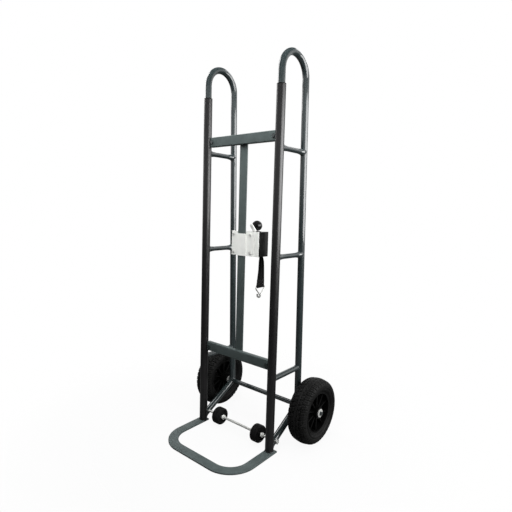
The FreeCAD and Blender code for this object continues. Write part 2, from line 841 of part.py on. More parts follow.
boss_inset = (d.casing_wall + d.boss_diameter) / 2
BOSS_PLACES = [(casing_left + boss_inset, winder_top - boss_inset),
               (casing_right - boss_inset, winder_top - boss_inset),
               (casing_left + boss_inset, winder_bottom + boss_inset),
               (d.reel_offset, winder_bottom + boss_inset)]
pawl_x = d.reel_offset - d.pawl_reach
pawl_z = winder_height - d.pawl_drop
strap_x = d.reel_offset + d.strap_exit
ratchet_front = plate_back + d.ratchet_gap
ratchet_back = ratchet_front + d.ratchet_thickness
spool_front = ratchet_back + d.weld_gap
spool_inside = spool_front + d.spool_flange_thickness
strap_middle = spool_inside + d.side_gap + d.strap_width / 2
spool_outside = strap_middle + d.strap_width / 2 + d.side_gap
spool_back = spool_outside + d.spool_flange_thickness


def casing_screw_shanks(clearance):
    length = casing_back - bar_back
    radius = d.casing_screw_diameter / 2 + clearance
    return [cylinder(radius, length, x, bar_back, z, "Y") for x, z in BOSS_PLACES]


def reel_casing():
    outside = box((casing_left, casing_right), (plate_back, casing_back), (winder_bottom, winder_top))
    wall = d.casing_wall
    hollow = box((casing_left + wall, casing_right - wall), (plate_back - over, casing_back - wall),
                 (winder_bottom + wall, winder_top - wall))
    bosses = [cylinder(d.boss_diameter / 2, d.casing_depth, x, plate_back, z, "Y") for x, z in BOSS_PLACES]
    shell = fused(cut(outside, hollow), *bosses)
    shaft_hole = cylinder(shaft_radius + d.running_gap, wall + over * 2,
                          d.reel_offset, casing_back - wall - over, winder_height, "Y")
    tail_slot = box((casing_left - over, casing_left + wall + over),
                    (plate_back - over, ratchet_back + d.side_gap),
                    (pawl_z - d.pawl_slot_height / 2, pawl_z + d.pawl_slot_height / 2))
    throat = box((strap_x - d.throat_length / 2, strap_x + d.throat_length / 2),
                 (strap_middle - d.throat_width / 2, strap_middle + d.throat_width / 2),
                 (winder_bottom - over, winder_bottom + wall + over))
    return cut(shell, shaft_hole, tail_slot, throat, *casing_screw_shanks(d.weld_gap))


def casing_screws():
    screws = []
    for shank, (x, z) in zip(casing_screw_shanks(ZERO), BOSS_PLACES):
        head = cylinder(d.casing_screw_head_diameter / 2, d.casing_screw_head_height, x, casing_back, z, "Y")
        screws.append(fused(head, shank))
    return group(*screws)


node(winder_bracket(), "winder_bracket")
node(reel_plate(), "reel_plate")
node(group(*(clamp_screw(x, z) for x, z in CLAMP_PLACES)), "clamp_screws")
node(reel_casing(), "reel_casing")
node(casing_screws(), "casing_screws")


# Reel: shaft, ratchet wheel, spool and the strap wound on it

crank_front = casing_back + d.side_gap + d.casing_screw_head_height
crank_back = crank_front + d.crank_thickness
nut_back = crank_back + d.crank_nut_height


def on_reel(radius, angle):
    """A point about the reel's middle, in the plane of the plate."""
    return (radius * math.cos(angle), radius * math.sin(angle))


def ratchet_wheel():
    step = 2 * math.pi / TOOTH_COUNT
    points = []
    for tooth in range(TOOTH_COUNT):
        points.append(on_reel(d.ratchet_root_diameter / 2, tooth * step))
        points.append(on_reel(d.ratchet_diameter / 2, tooth * step))
    blank = padded(points, d.ratchet_thickness, d.reel_offset, ratchet_back, winder_height, STANDING)
    bore = cylinder(shaft_radius + d.weld_gap, d.ratchet_thickness + over * 2, d.reel_offset,
                    ratchet_front - over, winder_height, "Y")
    return cut(blank, bore)


def spool():
    hole = shaft_radius + d.weld_gap
    core = d.spool_core_diameter / 2
    flange = d.spool_flange_diameter / 2
    inside = spool_inside - spool_front
    outside = spool_outside - spool_front
    back = spool_back - spool_front
    points = [(ZERO, hole), (back, hole), (back, flange), (outside, flange), (outside, core),
              (inside, core), (inside, flange), (ZERO, flange)]
    return turned(points, d.reel_offset, spool_front, winder_height, "Y")


def pawl():
    """Holding pawl: its nose stands under a tooth, its tail comes out of the casing's side."""
    tip = d.ratchet_root_diameter / 2
    outer = d.ratchet_diameter / 2
    low = d.pawl_drop - d.pawl_arm_height / 2
    gap = d.pawl_nose_gap
    arm = d.pawl_arm_height / 2
    points = [(-gap, -tip - gap), (-gap, -outer - gap), (-gap * 2, -outer - arm * 2),
              (-d.pawl_reach, -low - arm * 2), (-d.pawl_reach - d.pawl_tail, -low - arm * 2),
              (-d.pawl_reach - d.pawl_tail, -low), (-d.pawl_reach, -low),
              (-outer * PAWL_HEEL_SHARE, -outer - gap), (-tip * PAWL_NOSE_SHARE, -tip - gap * 2)]
    back = ratchet_back - d.side_gap
    arm_plate = padded(points, d.pawl_thickness, d.reel_offset, back, winder_height, STANDING)
    boss = cylinder(d.pawl_boss_diameter / 2, d.pawl_thickness, pawl_x, back - d.pawl_thickness, pawl_z, "Y")
    hole = cylinder(d.pawl_pin_diameter / 2 + d.running_gap, d.pawl_thickness + over * 2, pawl_x,
                    back - d.pawl_thickness - over, pawl_z, "Y")
    return cut(fused(arm_plate, boss), hole)


shaft_front = bar_back + d.side_gap
node(cylinder(shaft_radius, nut_back + d.thread_end - shaft_front,
              d.reel_offset, shaft_front, winder_height, "Y"), "reel_shaft")
node(ratchet_wheel(), "ratchet_wheel")
node(spool(), "spool")
node(ring(d.spool_core_diameter / 2 + d.weld_gap, d.strap_roll_diameter / 2, d.strap_width, d.reel_offset,
          strap_middle - d.strap_width / 2, winder_height, "Y"), "strap_roll")
node(pawl(), "pawl")
node(cylinder(d.pawl_pin_diameter / 2, ratchet_back - d.side_gap - bar_back, pawl_x, bar_back, pawl_z, "Y"),
     "pawl_pin")
node(ring(d.pawl_pin_diameter / 2 + d.running_gap, d.spring_diameter / 2, d.spring_height, pawl_x,
          plate_back + d.weld_gap, pawl_z, "Y"), "pawl_spring")


# Crank with its ball knob, on the shaft's end behind the casing

def crank_turn():
    """Turn a piece drawn along +X and +Z to the crank's slope, with +Z to the rear."""
    angle = math.radians(d.crank_angle.value)
    along = FreeCAD.Vector(math.cos(angle), 0, math.sin(angle))
    return FreeCAD.Rotation(along, Y_AXIS.cross(along), Y_AXIS, "ZXY")


def crank_arm():
    half = d.crank_width / 2
    bar = box((ZERO, d.crank_radius), (-half, half), (ZERO, d.crank_thickness))
    ends = [cylinder(half, d.crank_thickness, x, ZERO, ZERO, "Z") for x in (ZERO, d.crank_radius)]
    shaft_hole = cylinder(shaft_radius + d.weld_gap, d.crank_thickness + over * 2, ZERO, ZERO, -over, "Z")
    stud_hole = cylinder(d.stud_diameter / 2 + d.weld_gap, d.crank_thickness + over * 2,
                         d.crank_radius, ZERO, -over, "Z")
    return cut(fused(bar, *ends), shaft_hole, stud_hole)


def crank_nut():
    body = hexagon(d.crank_nut_width, d.crank_nut_height, d.reel_offset, crank_back, winder_height, "Y")
    bore = cylinder(shaft_radius + d.weld_gap, d.crank_nut_height + over * 2, d.reel_offset,
                    crank_back - over, winder_height, "Y")
    return cut(body, bore)


def knob():
    ball = doc.addObject("Part::Sphere", scratch_name())
    bind(ball, Radius=d.knob_diameter / 2)
    middle = d.crank_thickness + d.stud_length
    place(ball, d.crank_radius, ZERO, middle)
    reach = d.knob_diameter / 2
    face = middle - reach
    near = box((d.crank_radius - reach, d.crank_radius + reach), (-reach, reach),
               (face, face + d.knob_flat / 2))
    neck_start = d.crank_thickness + d.side_gap
    neck = cylinder(d.knob_flat / 2, face + d.knob_flat - neck_start, d.crank_radius, ZERO, neck_start, "Z")
    bore = cylinder(d.stud_diameter / 2 + d.weld_gap, d.stud_length, d.crank_radius, ZERO,
                    d.crank_thickness, "Z")
    return cut(fused(cut(ball, near), neck), bore)


def on_crank(thing):
    return place(thing, d.reel_offset, crank_front, winder_height, crank_turn())


node(on_crank(crank_arm()), "crank_arm")
node(crank_nut(), "crank_nut")
stud = cylinder(d.stud_diameter / 2, d.crank_thickness + d.stud_length, d.crank_radius, ZERO, ZERO, "Z")
node(on_crank(group(stud)), "knob_stud")
node(on_crank(knob()), "ball_knob")


# Strap end: gathered in pleats at the casing's throat, opening flat to a sewn loop

strap_bottom = winder_height - d.strap_drop
eye_radius = d.hook_wire / 2 + d.hook_loop_gap
# Stations down the strap: share of the drop, share of the way from neck width to full width,
# and share of the way from the roll's side to the throat
STRAP_SHARES = [
    (-0.01, 1.0, 0.0), (0.09, 0.97, 0.12), (0.16, 0.72, 0.45), (0.21, 0.35, 0.8),
    (0.262, 0.0, 1.0), (0.31, 0.0, 1.0), (0.4, 0.2, 1.0), (0.54, 0.5, 1.0),
    (0.69, 0.76, 1.0), (0.82, 0.94, 1.0), (0.9, 1.0, 1.0),
]


def strap_section(drop_share, width_share, throat_share):
    """One pleated section of the strap, as a closed zigzag whose length is the strap's width."""
    width = d.strap_neck_width.value + (d.strap_width - d.strap_neck_width).value * width_share
    pitch = width / PLEAT_COUNT
    fold = d.strap_width.value / PLEAT_COUNT
    depth = math.sqrt(max(fold ** 2 - pitch ** 2, 0))
    half = d.strap_thickness.value / 2
    mitre = half * fold / pitch
    roll_side = (d.strap_roll_diameter / 2 + d.strap_thickness / 2 + d.strap_roll_gap).value
    x = d.reel_offset.value + roll_side + (d.strap_exit.value - roll_side) * throat_share
    z = winder_height.value - d.strap_drop.value * drop_share
    folds = [(depth / 2 * (-1) ** count, pitch * count - width / 2) for count in range(PLEAT_COUNT + 1)]
    outline = [(across + mitre, along) for across, along in folds]
    outline += [(across - mitre, along) for across, along in reversed(folds)]
    corners = [FreeCAD.Vector(x + across, strap_middle.value + along, z) for across, along in outline]
    return Part.makePolygon(corners + corners[:1])


def strap_tail():
    """The web, with its end lapped and sewn round the hook's bar."""
    half = d.strap_thickness.value / 2
    eye = eye_radius.value
    end_share = 1 - (eye + half) / d.strap_drop.value
    stations = STRAP_SHARES + [(end_share, 1.0, 1.0)]
    web = Part.makeLoft([strap_section(*shares) for shares in stations], True, True)
    width = (d.strap_width - d.seam_inset * 2).value
    front = strap_middle.value - width / 2
    middle = FreeCAD.Vector(strap_x.value, front, strap_bottom.value)
    loop = Part.makeCylinder(eye + half * 2, width, middle, Y_AXIS)
    lap_corner = middle + Z_AXIS * (eye + half / 2)
    lap = Part.makeBox(half * 3, width, d.strap_seam.value, lap_corner)
    hole_start = middle - Y_AXIS * over.value
    hole = Part.makeCylinder(eye, width + over.value * 2, hole_start, Y_AXIS)
    return made(web.fuse([lap, loop]).cut(hole))


# Wire hook: a bar in the strap's loop, two legs, and a double J

def hook_path(sign):
    """Half of the bent wire, from the middle of the bar to the tip of the J."""
    wire = d.hook_wire.value
    reach = d.strap_width.value / 2 + d.hook_bar_overhang.value + wire / 2
    curl = d.hook_curl_radius.value
    low = -d.hook_drop.value + wire / 2 + curl
    neck = low + curl
    bend = d.hook_bend_radius.value
    middle = FreeCAD.Vector(strap_x.value, strap_middle.value, strap_bottom.value)
    corner = FreeCAD.Vector(0, reach, 0)
    shank_top = FreeCAD.Vector(0, wire / 2 + d.weld_gap.value, neck)
    stops = [FreeCAD.Vector(), corner, shank_top, FreeCAD.Vector(0, shank_top.y, low)]
    edges = []
    begin = stops[0]
    for before, here, after in zip(stops, stops[1:], stops[2:]):
        arrive = (here - before).normalize()
        leave = (after - here).normalize()
        turn = arrive.getAngle(leave)
        tangent = bend * math.tan(turn / 2)
        first = here - arrive * tangent
        last = here + leave * tangent
        inside = (leave - arrive).normalize() * bend * (1 / math.cos(turn / 2) - 1)
        edges.append((begin, first))
        edges.append((first, here + inside, last))
        begin = last
    bottom = FreeCAD.Vector(-curl, shank_top.y, low - curl)
    rise = FreeCAD.Vector(-curl * 2, shank_top.y, low)
    tip = rise + Z_AXIS * d.hook_tip_rise.value
    edges += [(begin, stops[-1]), (stops[-1], bottom, rise), (rise, tip)]
    return [edge_through([turn_side(point, sign) + middle for point in points]) for points in edges]


def turn_side(point, sign):
    return FreeCAD.Vector(point.x, point.y * sign, point.z)


def edge_through(points):
    if len(points) == 2:
        return Part.LineSegment(*points).toShape()
    return Part.Arc(*points).toShape()


def strap_hook():
    halves = [swept(Part.Wire(hook_path(sign)), d.hook_wire.value / 2, Y_AXIS) for side, sign in SIDES]
    return made(halves[0].fuse(halves[1]).removeSplitter())


node(strap_tail(), "strap_tail")
node(strap_hook(), "strap_hook")


def write_parts():
    """Stop at any failed object, then write each sub-part to its own file."""
    doc.recompute()
    for item in doc.Objects:
        if "Invalid" in item.State or "Error" in item.State:
            raise RuntimeError(f"{item.Label} failed: {item.State}")
    os.makedirs("parts", exist_ok=True)
    for item in nodes:
        if item.Shape.isNull() or not item.Shape.isValid():
            raise RuntimeError(f"{item.Label} has no valid shape")
        item.Shape.exportStep(f"parts/{item.Label}.step")
    print(len(nodes), "sub-parts written")


write_parts()
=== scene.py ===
"""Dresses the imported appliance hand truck: paint, plating, treaded tyres, webbing and a white studio."""
import json
import math

import bmesh
import bpy
import numpy as np
from bpy.props import FloatProperty, FloatVectorProperty, IntProperty, PointerProperty
from mathutils import Matrix, Vector


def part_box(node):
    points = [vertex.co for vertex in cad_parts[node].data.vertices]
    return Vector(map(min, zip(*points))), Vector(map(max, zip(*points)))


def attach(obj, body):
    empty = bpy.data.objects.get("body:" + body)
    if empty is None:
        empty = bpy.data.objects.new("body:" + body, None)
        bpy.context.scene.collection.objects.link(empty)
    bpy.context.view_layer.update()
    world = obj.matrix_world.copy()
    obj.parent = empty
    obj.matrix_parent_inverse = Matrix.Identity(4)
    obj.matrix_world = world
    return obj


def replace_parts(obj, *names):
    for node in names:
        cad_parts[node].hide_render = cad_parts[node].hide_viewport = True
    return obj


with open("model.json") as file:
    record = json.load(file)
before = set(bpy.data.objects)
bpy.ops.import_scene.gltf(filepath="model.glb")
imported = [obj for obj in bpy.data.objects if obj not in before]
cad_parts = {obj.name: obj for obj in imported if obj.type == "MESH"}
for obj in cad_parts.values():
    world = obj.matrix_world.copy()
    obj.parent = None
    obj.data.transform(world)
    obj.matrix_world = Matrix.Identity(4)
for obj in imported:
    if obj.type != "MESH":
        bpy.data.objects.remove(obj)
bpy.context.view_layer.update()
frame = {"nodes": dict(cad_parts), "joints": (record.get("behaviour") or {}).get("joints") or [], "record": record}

bl_info = {
    "name": "Appliance Hand Truck",
    "version": (1, 0, 0),
    "blender": (4, 5, 0),
    "location": "View3D > Sidebar > Hand Truck",
    "description": "Finishes, tyres, strap and studio for an appliance hand truck",
    "category": "Object",
}

NODES = frame["nodes"]
SLOT_OF = {part["node"]: part["material_slot"] for part in frame["record"]["subparts"]}
HINGES = {joint["name"]: np.array(joint["pos_m"]) for joint in frame["joints"]}
SIDES = (("left", -1.0), ("right", 1.0))
X_WAY, Y_WAY, Z_WAY = np.eye(3)
# Gap between a piece and the solid that it sits on
PLAY = 0.0001
# Points round a circle and round a small corner
CURVE_COUNT, CORNER_COUNT = 96, 6
# Angles, in degrees, over which an edge is shaded sharp
SHARP, TREAD_SHARP, SOFT = 35.0, 50.0, 80.0


def node_box(node):
    """A node's lowest and highest corners at rest."""
    low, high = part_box(node)
    return np.array(low), np.array(high)


def node_size(node):
    """A node's extent along each axis at rest."""
    low, high = node_box(node)
    return high - low


def node_middle(node):
    """The middle of a node's box at rest."""
    low, high = node_box(node)
    return (low + high) / 2


def circle(count):
    """Angles that go once round."""
    return np.linspace(0, 2 * math.pi, count, endpoint=False)


def unit(vectors):
    """Vectors of length 1."""
    return vectors / np.linalg.norm(vectors, axis=-1, keepdims=True)


def crossed(*parts):
    """Points of a grid from coordinates that change along its rows, its columns or both."""
    return np.stack(np.broadcast_arrays(*parts), -1)


def run_along(*parts):
    """Length so far at each point of a line, from its two coordinates."""
    return np.append(0, np.cumsum(np.hypot(*map(np.diff, parts))))


def colour_property(name, description, rgb):
    """A colour setting."""
    return FloatVectorProperty(name=name, description=description, subtype="COLOR", size=3,
                               min=0.0, max=1.0, default=rgb)


def length_property(name, description, metres):
    """A length setting."""
    return FloatProperty(name=name, description=description, subtype="DISTANCE", unit="LENGTH",
                         min=0.0, default=metres)


class FinishSettings(bpy.types.PropertyGroup):
    """Colours of the truck's finishes."""
    tube_paint: colour_property("Tube paint", "Charcoal gloss on tubes and rungs", (0.018, 0.0245, 0.0255))
    # Paler than the tube paint: the flat steel's own matte colour with painted sheen in it
    sheet_paint: colour_property("Sheet paint", "Charcoal on flat bars and channels", (0.060, 0.076, 0.075))
    rail_paint: colour_property("Rail paint", "Near-black satin on the rails", (0.006, 0.0056, 0.006))
    zinc: colour_property("Zinc", "Bright plating on the winder, hook and axle", (0.84, 0.85, 0.82))
    rubber: colour_property("Rubber", "Tyres and rollers", (0.0075, 0.0075, 0.0074))
    plastic: colour_property("Plastic", "Casing, knob, rims and collars", (0.003, 0.003, 0.003))
    nylon: colour_property("Nylon", "Bushes and spool", (0.62, 0.62, 0.58))
    webbing: colour_property("Webbing", "Woven strap", (0.003, 0.003, 0.003))


class FrameSettings(bpy.types.PropertyGroup):
    """Edges, bends and welds of the steel frame."""
    edge: length_property("Edge", "Rounding of cut edges", 0.0009)
    bend: length_property("Bend", "Outside radius of bends in pressed sheet", 0.0042)
    wall: length_property("Channel wall", "Thickness of the cross channels", 0.0025)
    toe_width: length_property("Toe bar width", "Width of the bent flat bar", 0.040)
    toe_corner: length_property("Toe corner", "Inside radius of the toe's corners", 0.076)
    arch: length_property("Handle radius", "Radius of the handle's middle line", 0.0765)
    brace_drop: length_property("Brace drop", "Brace's middle line below the roller axle", 0.005)
    leg_bend: length_property("Leg bend", "Radius of the bend at the axle", 0.030)
    bead: length_property("Weld bead", "Radius of a weld bead", 0.0017)
    ripple: length_property("Weld ripple", "Distance between a weld's ripples", 0.0026)


class TyreSettings(bpy.types.PropertyGroup):
    """Tread of the main wheels."""
    pitches: IntProperty(name="Tread pitches", description="Tread blocks round the tyre", default=40, min=8)
    steps: IntProperty(name="Steps per pitch", description="Mesh steps in one tread pitch", default=16, min=6)
    depth: length_property("Groove depth", "Depth of the tread grooves", 0.0034)
    groove: length_property("Groove width", "Width of the tread grooves", 0.0038)
    shoulder: length_property("Shoulder", "Radius of the tyre's shoulder", 0.022)
    crown: length_property("Crown", "Height of the tread's crown", 0.003)


class StrapSettings(bpy.types.PropertyGroup):
    """Webbing of the strap."""
    width: length_property("Width", "Width of the webbing", 0.045)
    thickness: length_property("Thickness", "Thickness of the webbing", 0.0012)
    neck: length_property("Neck width", "Width of the gathered strap in the casing's throat", 0.012)
    seam: length_property("Seam", "Length of the sewn lap above the hook", 0.026)
    rib: length_property("Weave pitch", "Distance between the weave's ribs", 0.0016)
    folds: IntProperty(name="Folds", description="Half folds across the gathered strap", default=4, min=2)


class StudioSettings(bpy.types.PropertyGroup):
    """Camera and lights."""
    eye: FloatVectorProperty(name="Eye", description="Camera position", subtype="TRANSLATION", unit="LENGTH",
                             size=3, default=(1.1082, -1.2715, 0.9341))
    yaw: FloatProperty(name="Yaw", description="Camera turn about the vertical, in degrees", default=39.518)
    pitch: FloatProperty(name="Pitch", description="Camera tilt, in degrees", default=-6.272)
    roll: FloatProperty(name="Roll", description="Camera roll, in degrees", default=1.643)
    lens: FloatProperty(name="Lens", description="Focal length on a 36 mm sensor", default=29.541)
    floor: length_property("Floor radius", "Radius of the studio floor", 4.0)


# Meshes

def grid_faces(rows, columns, round_rows=False, round_columns=False):
    """Quads of a grid of rows x columns points, closed on itself where it goes round."""
    row = np.arange(rows if round_rows else rows - 1)[:, None]
    column = np.arange(columns if round_columns else columns - 1)[None, :]
    next_row = (row + 1) % rows
    next_column = (column + 1) % columns
    corners = (row * columns + column, row * columns + next_column,
               next_row * columns + next_column, next_row * columns + column)
    return np.stack(corners, -1).reshape(-1, 4)


def shell(grid, round_rows=False, capped=False):
    """Points, faces and end caps of a grid that goes round, turned so that the volume inside is positive."""
    rows, columns = grid.shape[:2]
    points = grid.reshape(-1, 3)
    faces = grid_faces(rows, columns, round_rows, round_columns=True)
    caps = [np.arange(columns)[::-1], np.arange((rows - 1) * columns, rows * columns)] if capped else []
    a, b, c, e = (points[faces[:, k]] - points.mean(0) for k in range(4))
    if (np.cross(b, c) * a).sum() + (np.cross(c, e) * a).sum() < 0:
        faces, caps = faces[:, ::-1], [cap[::-1] for cap in caps]
    return points, faces, caps


def placed(name, data):
    """A named object in the scene."""
    made = bpy.data.objects.new(name, data)
    bpy.context.scene.collection.objects.link(made)
    return made


def dressed(name, mesh, finish, body):
    """A mesh as a named object at the origin that rides on a body."""
    mesh.materials.append(finish)
    made = placed(name, mesh)
    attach(made, body)
    return made


def piece(name, shells, finish, body, sharp=SHARP):
    """An object made of shells, smooth except over edges sharper than an angle."""
    starts = np.cumsum([0] + [len(points) for points, _, _ in shells])
    faces = [face for (_, quads, caps), start in zip(shells, starts)
             for face in (quads + start).tolist() + [(cap + start).tolist() for cap in caps]]
    mesh = bpy.data.meshes.new(name)
    mesh.from_pydata(np.concatenate([points for points, _, _ in shells]).tolist(), [], faces)
    mesh.shade_smooth()
    mesh.set_sharp_from_angle(angle=math.radians(sharp))
    return dressed(name, mesh, finish, body)


def rounded(corners, radii):
    """A polygon with each corner replaced by a quadratic curve that starts and ends a radius away."""
    corner = np.asarray(corners, float)
    reach = np.broadcast_to(np.asarray(radii, float), len(corner))[:, None]
    start = corner + unit(np.roll(corner, 1, 0) - corner) * reach
    finish = corner + unit(np.roll(corner, -1, 0) - corner) * reach
    t = np.linspace(0, 1, CORNER_COUNT)[None, :, None]
    curve = (1 - t) ** 2 * start[:, None] + 2 * t * (1 - t) * corner[:, None] + t ** 2 * finish[:, None]
    return curve.reshape(-1, 2)


def bar_outline(width, height, radius, inset):
    """A rounded bar's outlines, a row for each inset: corner centre + (radius - inset) * direction."""
    quarter = np.repeat(np.arange(4), CORNER_COUNT)
    turn = (quarter + np.tile(np.linspace(0, 1, CORNER_COUNT), 4)) * math.pi / 2
    side = (quarter + 0.5) * math.pi / 2
    reach = radius - inset[:, None]
    return (np.sign(np.cos(side)) * (width / 2 - radius) + reach * np.cos(turn),
            np.sign(np.sin(side)) * (height / 2 - radius) + reach * np.sin(turn))


def bar_shell(path, across, upward, width, height, radius):
    """A rounded bar along a path, station + u * across + v * upward, with ends drawn in round their edges."""
    turn = np.linspace(0.12, math.pi / 2, CORNER_COUNT)
    draw, back = radius * (1 - np.sin(turn)), (radius * (1 - np.cos(turn)))[:, None]
    first, last = unit(path[1] - path[0]), unit(path[-2] - path[-1])
    stations = np.concatenate([path[0] + back * first, path[1:-1], (path[-1] + back * last)[::-1]])
    inset = np.concatenate([draw, np.zeros(len(path) - 2), draw[::-1]])
    across = np.broadcast_to(across, path.shape)
    across = np.concatenate([np.repeat(across[:1], CORNER_COUNT, 0), across[1:-1],
                             np.repeat(across[-1:], CORNER_COUNT, 0)])
    u, v = bar_outline(width, height, radius, inset)
    return shell(stations[:, None] + u[..., None] * across[:, None] + v[..., None] * upward, capped=True)


def eased_copy(node, width, finish, body):
    """A node's solid, merged, its flat faces joined and its sharp edges rounded, in the node's place."""
    shape = bmesh.new()
    shape.from_mesh(NODES[node].data)
    bmesh.ops.remove_doubles(shape, verts=shape.verts, dist=1e-6)
    bmesh.ops.dissolve_limit(shape, angle_limit=math.radians(1), verts=shape.verts, edges=shape.edges)
    mesh = bpy.data.meshes.new(f"eased_{node}")
    shape.to_mesh(mesh)
    shape.free()
    if "custom_normal" in mesh.attributes:
        mesh.attributes.remove(mesh.attributes["custom_normal"])
    mesh.shade_smooth()
    mesh.set_sharp_from_angle(angle=math.radians(SHARP))
    made = dressed(f"eased_{node}", mesh, finish, body)
    bevel = made.modifiers.new("edges", "BEVEL")
    bevel.width = width
    bevel.segments = 3
    bevel.limit_method = "ANGLE"
    bevel.angle_limit = math.radians(40)
    bevel.harden_normals = True
    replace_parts(made, node)


# Finishes

class Nodes:
    """Short ways to fill a node tree."""

    def __init__(self, tree):
        self.tree = tree
        self.link = tree.links.new

    def add(self, kind, *sources, **values):
        """A node with values for its sockets or settings, its first inputs linked to the given sources."""
        node = self.tree.nodes.new(kind)
        for key, value in values.items():
            if key in node.inputs:
                node.inputs[key].default_value = value
            else:
                setattr(node, key, value)
        for source, socket in zip(sources, node.inputs):
            if source:
                self.link(source, socket)
        return node

    def math(self, operation, first, second):
        """A maths node on two sockets, or on a socket and a number."""
        node = self.add("ShaderNodeMath", first, operation=operation)
        if isinstance(second, float):
            node.inputs[1].default_value = second
        else:
            self.link(second, node.inputs[1])
        return node.outputs["Value"]

    def ramp(self, value, start, finish, low, high, kind="SMOOTHSTEP"):
        """A value taken from start..finish to low..high."""
        node = self.add("ShaderNodeMapRange", value, interpolation_type=kind)
        for socket, number in (("From Min", start), ("From Max", finish), ("To Min", low), ("To Max", high)):
            node.inputs[socket].default_value = number
        return node.outputs["Result"]


class Finish(Nodes):
    """A node material round one Principled shader, with patterns on Object coordinates."""

    def __init__(self, name, colour, **sockets):
        self.material = bpy.data.materials.new(name)
        self.material.use_nodes = True
        super().__init__(self.material.node_tree)
        self.shader = self.tree.nodes["Principled BSDF"]
        self.colour = colour
        self.shader.inputs["Base Color"].default_value = (*colour, 1)
        for socket, value in sockets.items():
            self.shader.inputs[socket.replace("_", " ")].default_value = value
        self.place = self.add("ShaderNodeTexCoord").outputs["Object"]

    def noise(self, scale, detail, stretch=(1, 1, 1)):
        """Noise on the object, stretched along the axes."""
        mapped = self.add("ShaderNodeMapping", self.place, Scale=stretch).outputs["Vector"]
        node = self.add("ShaderNodeTexNoise", mapped, Scale=scale, Detail=detail, Roughness=0.55)
        return node.outputs["Fac"]

    def spread(self, value, low, high):
        """Noise, most of which lies in 0.3..0.7, spread over low to high."""
        return self.ramp(value, 0.3, 0.7, low, high, "LINEAR")

    def tint(self, value, dark, light):
        """Vary the base colour between two multiples of it."""
        mix = self.add("ShaderNodeMix", data_type="RGBA")
        mix.inputs["A"].default_value = (*[c * dark for c in self.colour], 1)
        mix.inputs["B"].default_value = (*[min(c * light, 1) for c in self.colour], 1)
        self.link(value, mix.inputs["Factor"])
        self.link(mix.outputs["Result"], self.shader.inputs["Base Color"])
        return self

    def rough(self, value, low, high):
        """Vary the roughness between two values."""
        self.link(self.spread(value, low, high), self.shader.inputs["Roughness"])
        return self

    def bump(self, value, height, strength):
        """Bump the surface by a real height, at a strength."""
        node = self.add("ShaderNodeBump", Strength=strength, Distance=height)
        self.link(value, node.inputs["Height"])
        self.link(node.outputs["Normal"], self.shader.inputs["Normal"])
        return self

    def weather(self, cloud, shades, grain, sheen, pebble, height, strength):
        """The material with a cloudy colour, an uneven roughness and a fine bump, each from its own noise."""
        self.tint(self.spread(self.noise(*cloud), 0, 1), *shades)
        self.rough(self.noise(*grain), *sheen)
        return self.bump(self.noise(*pebble), height, strength).material


# Each finish: its colour setting and a multiple of it, sockets, and what Finish.weather takes, in its order
RECIPES = {
    # Charcoal gloss on tubes: faint mottling, a little orange peel, a clear top
    "charcoal_gloss": ("tube_paint", 1, dict(Specular_IOR_Level=0.25, Coat_Weight=1.0, Coat_Roughness=0.06),
                       (14, 4), (0.88, 1.14), (24, 3), (0.22, 0.28), (70, 2), 0.00003, 0.02),
    # Charcoal powder coat on flat steel: cloudy, with a fine pebble and faint rubbed streaks. Its colour is paler
    # than the tubes' coat of the same paint: partly its real matte finish, partly painted sheen
    "charcoal_sheet": ("sheet_paint", 1, dict(Specular_IOR_Level=0.3, Coat_Weight=0.1, Coat_Roughness=0.12),
                       (22, 5), (0.86, 1.14), (70, 4, (0.2, 1, 1)), (0.34, 0.5), (420, 2), 0.00005, 0.25),
    # Near-black satin coat on the rails
    "rail_satin": ("rail_paint", 1, dict(Specular_IOR_Level=0.52), (18, 4), (0.8, 1.25),
                   (40, 2, (1, 1, 0.25)), (0.28, 0.31), (260, 2), 0.00003, 0.01),
    # Plated steel: drawn grain and cloudy spangle
    "bright_zinc": ("zinc", 1, dict(Metallic=1.0), (70, 4), (0.88, 1.06), (160, 4, (1, 1, 0.12)),
                    (0.24, 0.42), (900, 2, (1, 1, 0.08)), 0.00004, 0.4),
    # Passivated sheet on the winder: dull and cloudy, with a drawn grain. It is pale and mostly diffuse: its white
    # is the plating's bright reflection, painted into the colour
    "white_zinc": ("zinc", 1.04, dict(Metallic=0.12), (55, 5), (0.94, 1.02), (140, 4, (0.15, 1, 1)),
                   (0.34, 0.52), (800, 2, (0.1, 1, 1)), 0.00004, 0.35),
    # Plated rod and washers: greyer and duller than the winder's sheet
    "dull_zinc": ("zinc", 0.7, dict(Metallic=0.3), (90, 4), (0.9, 1.08), (160, 4, (0.2, 1, 1)),
                  (0.34, 0.5), (900, 2, (0.1, 1, 1)), 0.00003, 0.3),
    # Plated wire and nuts: grey, with a dull metal shine
    "grey_zinc": ("zinc", 0.5, dict(Metallic=0.6), (120, 4), (0.85, 1.12), (200, 3), (0.3, 0.46),
                  (900, 2), 0.00003, 0.3),
    # Rubber: dull, with a dusty bloom and a fine grain
    "black_rubber": ("rubber", 1, dict(Specular_IOR_Level=0.055), (26, 5), (0.7, 1.5), (120, 4),
                     (0.38, 0.58), (1400, 3), 0.00012, 0.5),
    # Black moulded plastic with a fine leathery grain
    "moulded_plastic": ("plastic", 1, dict(Specular_IOR_Level=0.09), (40, 3), (0.8, 1.5), (200, 3),
                        (0.28, 0.42), (1100, 3), 0.00006, 0.4),
    # Polished black plastic with faint flow marks
    "gloss_plastic": ("plastic", 2.4, dict(Specular_IOR_Level=0.4), (30, 2), (0.85, 1.3), (50, 3),
                      (0.07, 0.16), (120, 2), 0.00005, 0.12),
    # Natural nylon, a little cloudy
    "pale_nylon": ("nylon", 1, dict(Subsurface_Weight=0.1), (80, 3), (0.93, 1.04), (150, 3),
                   (0.38, 0.52), (700, 2), 0.00004, 0.3),
}
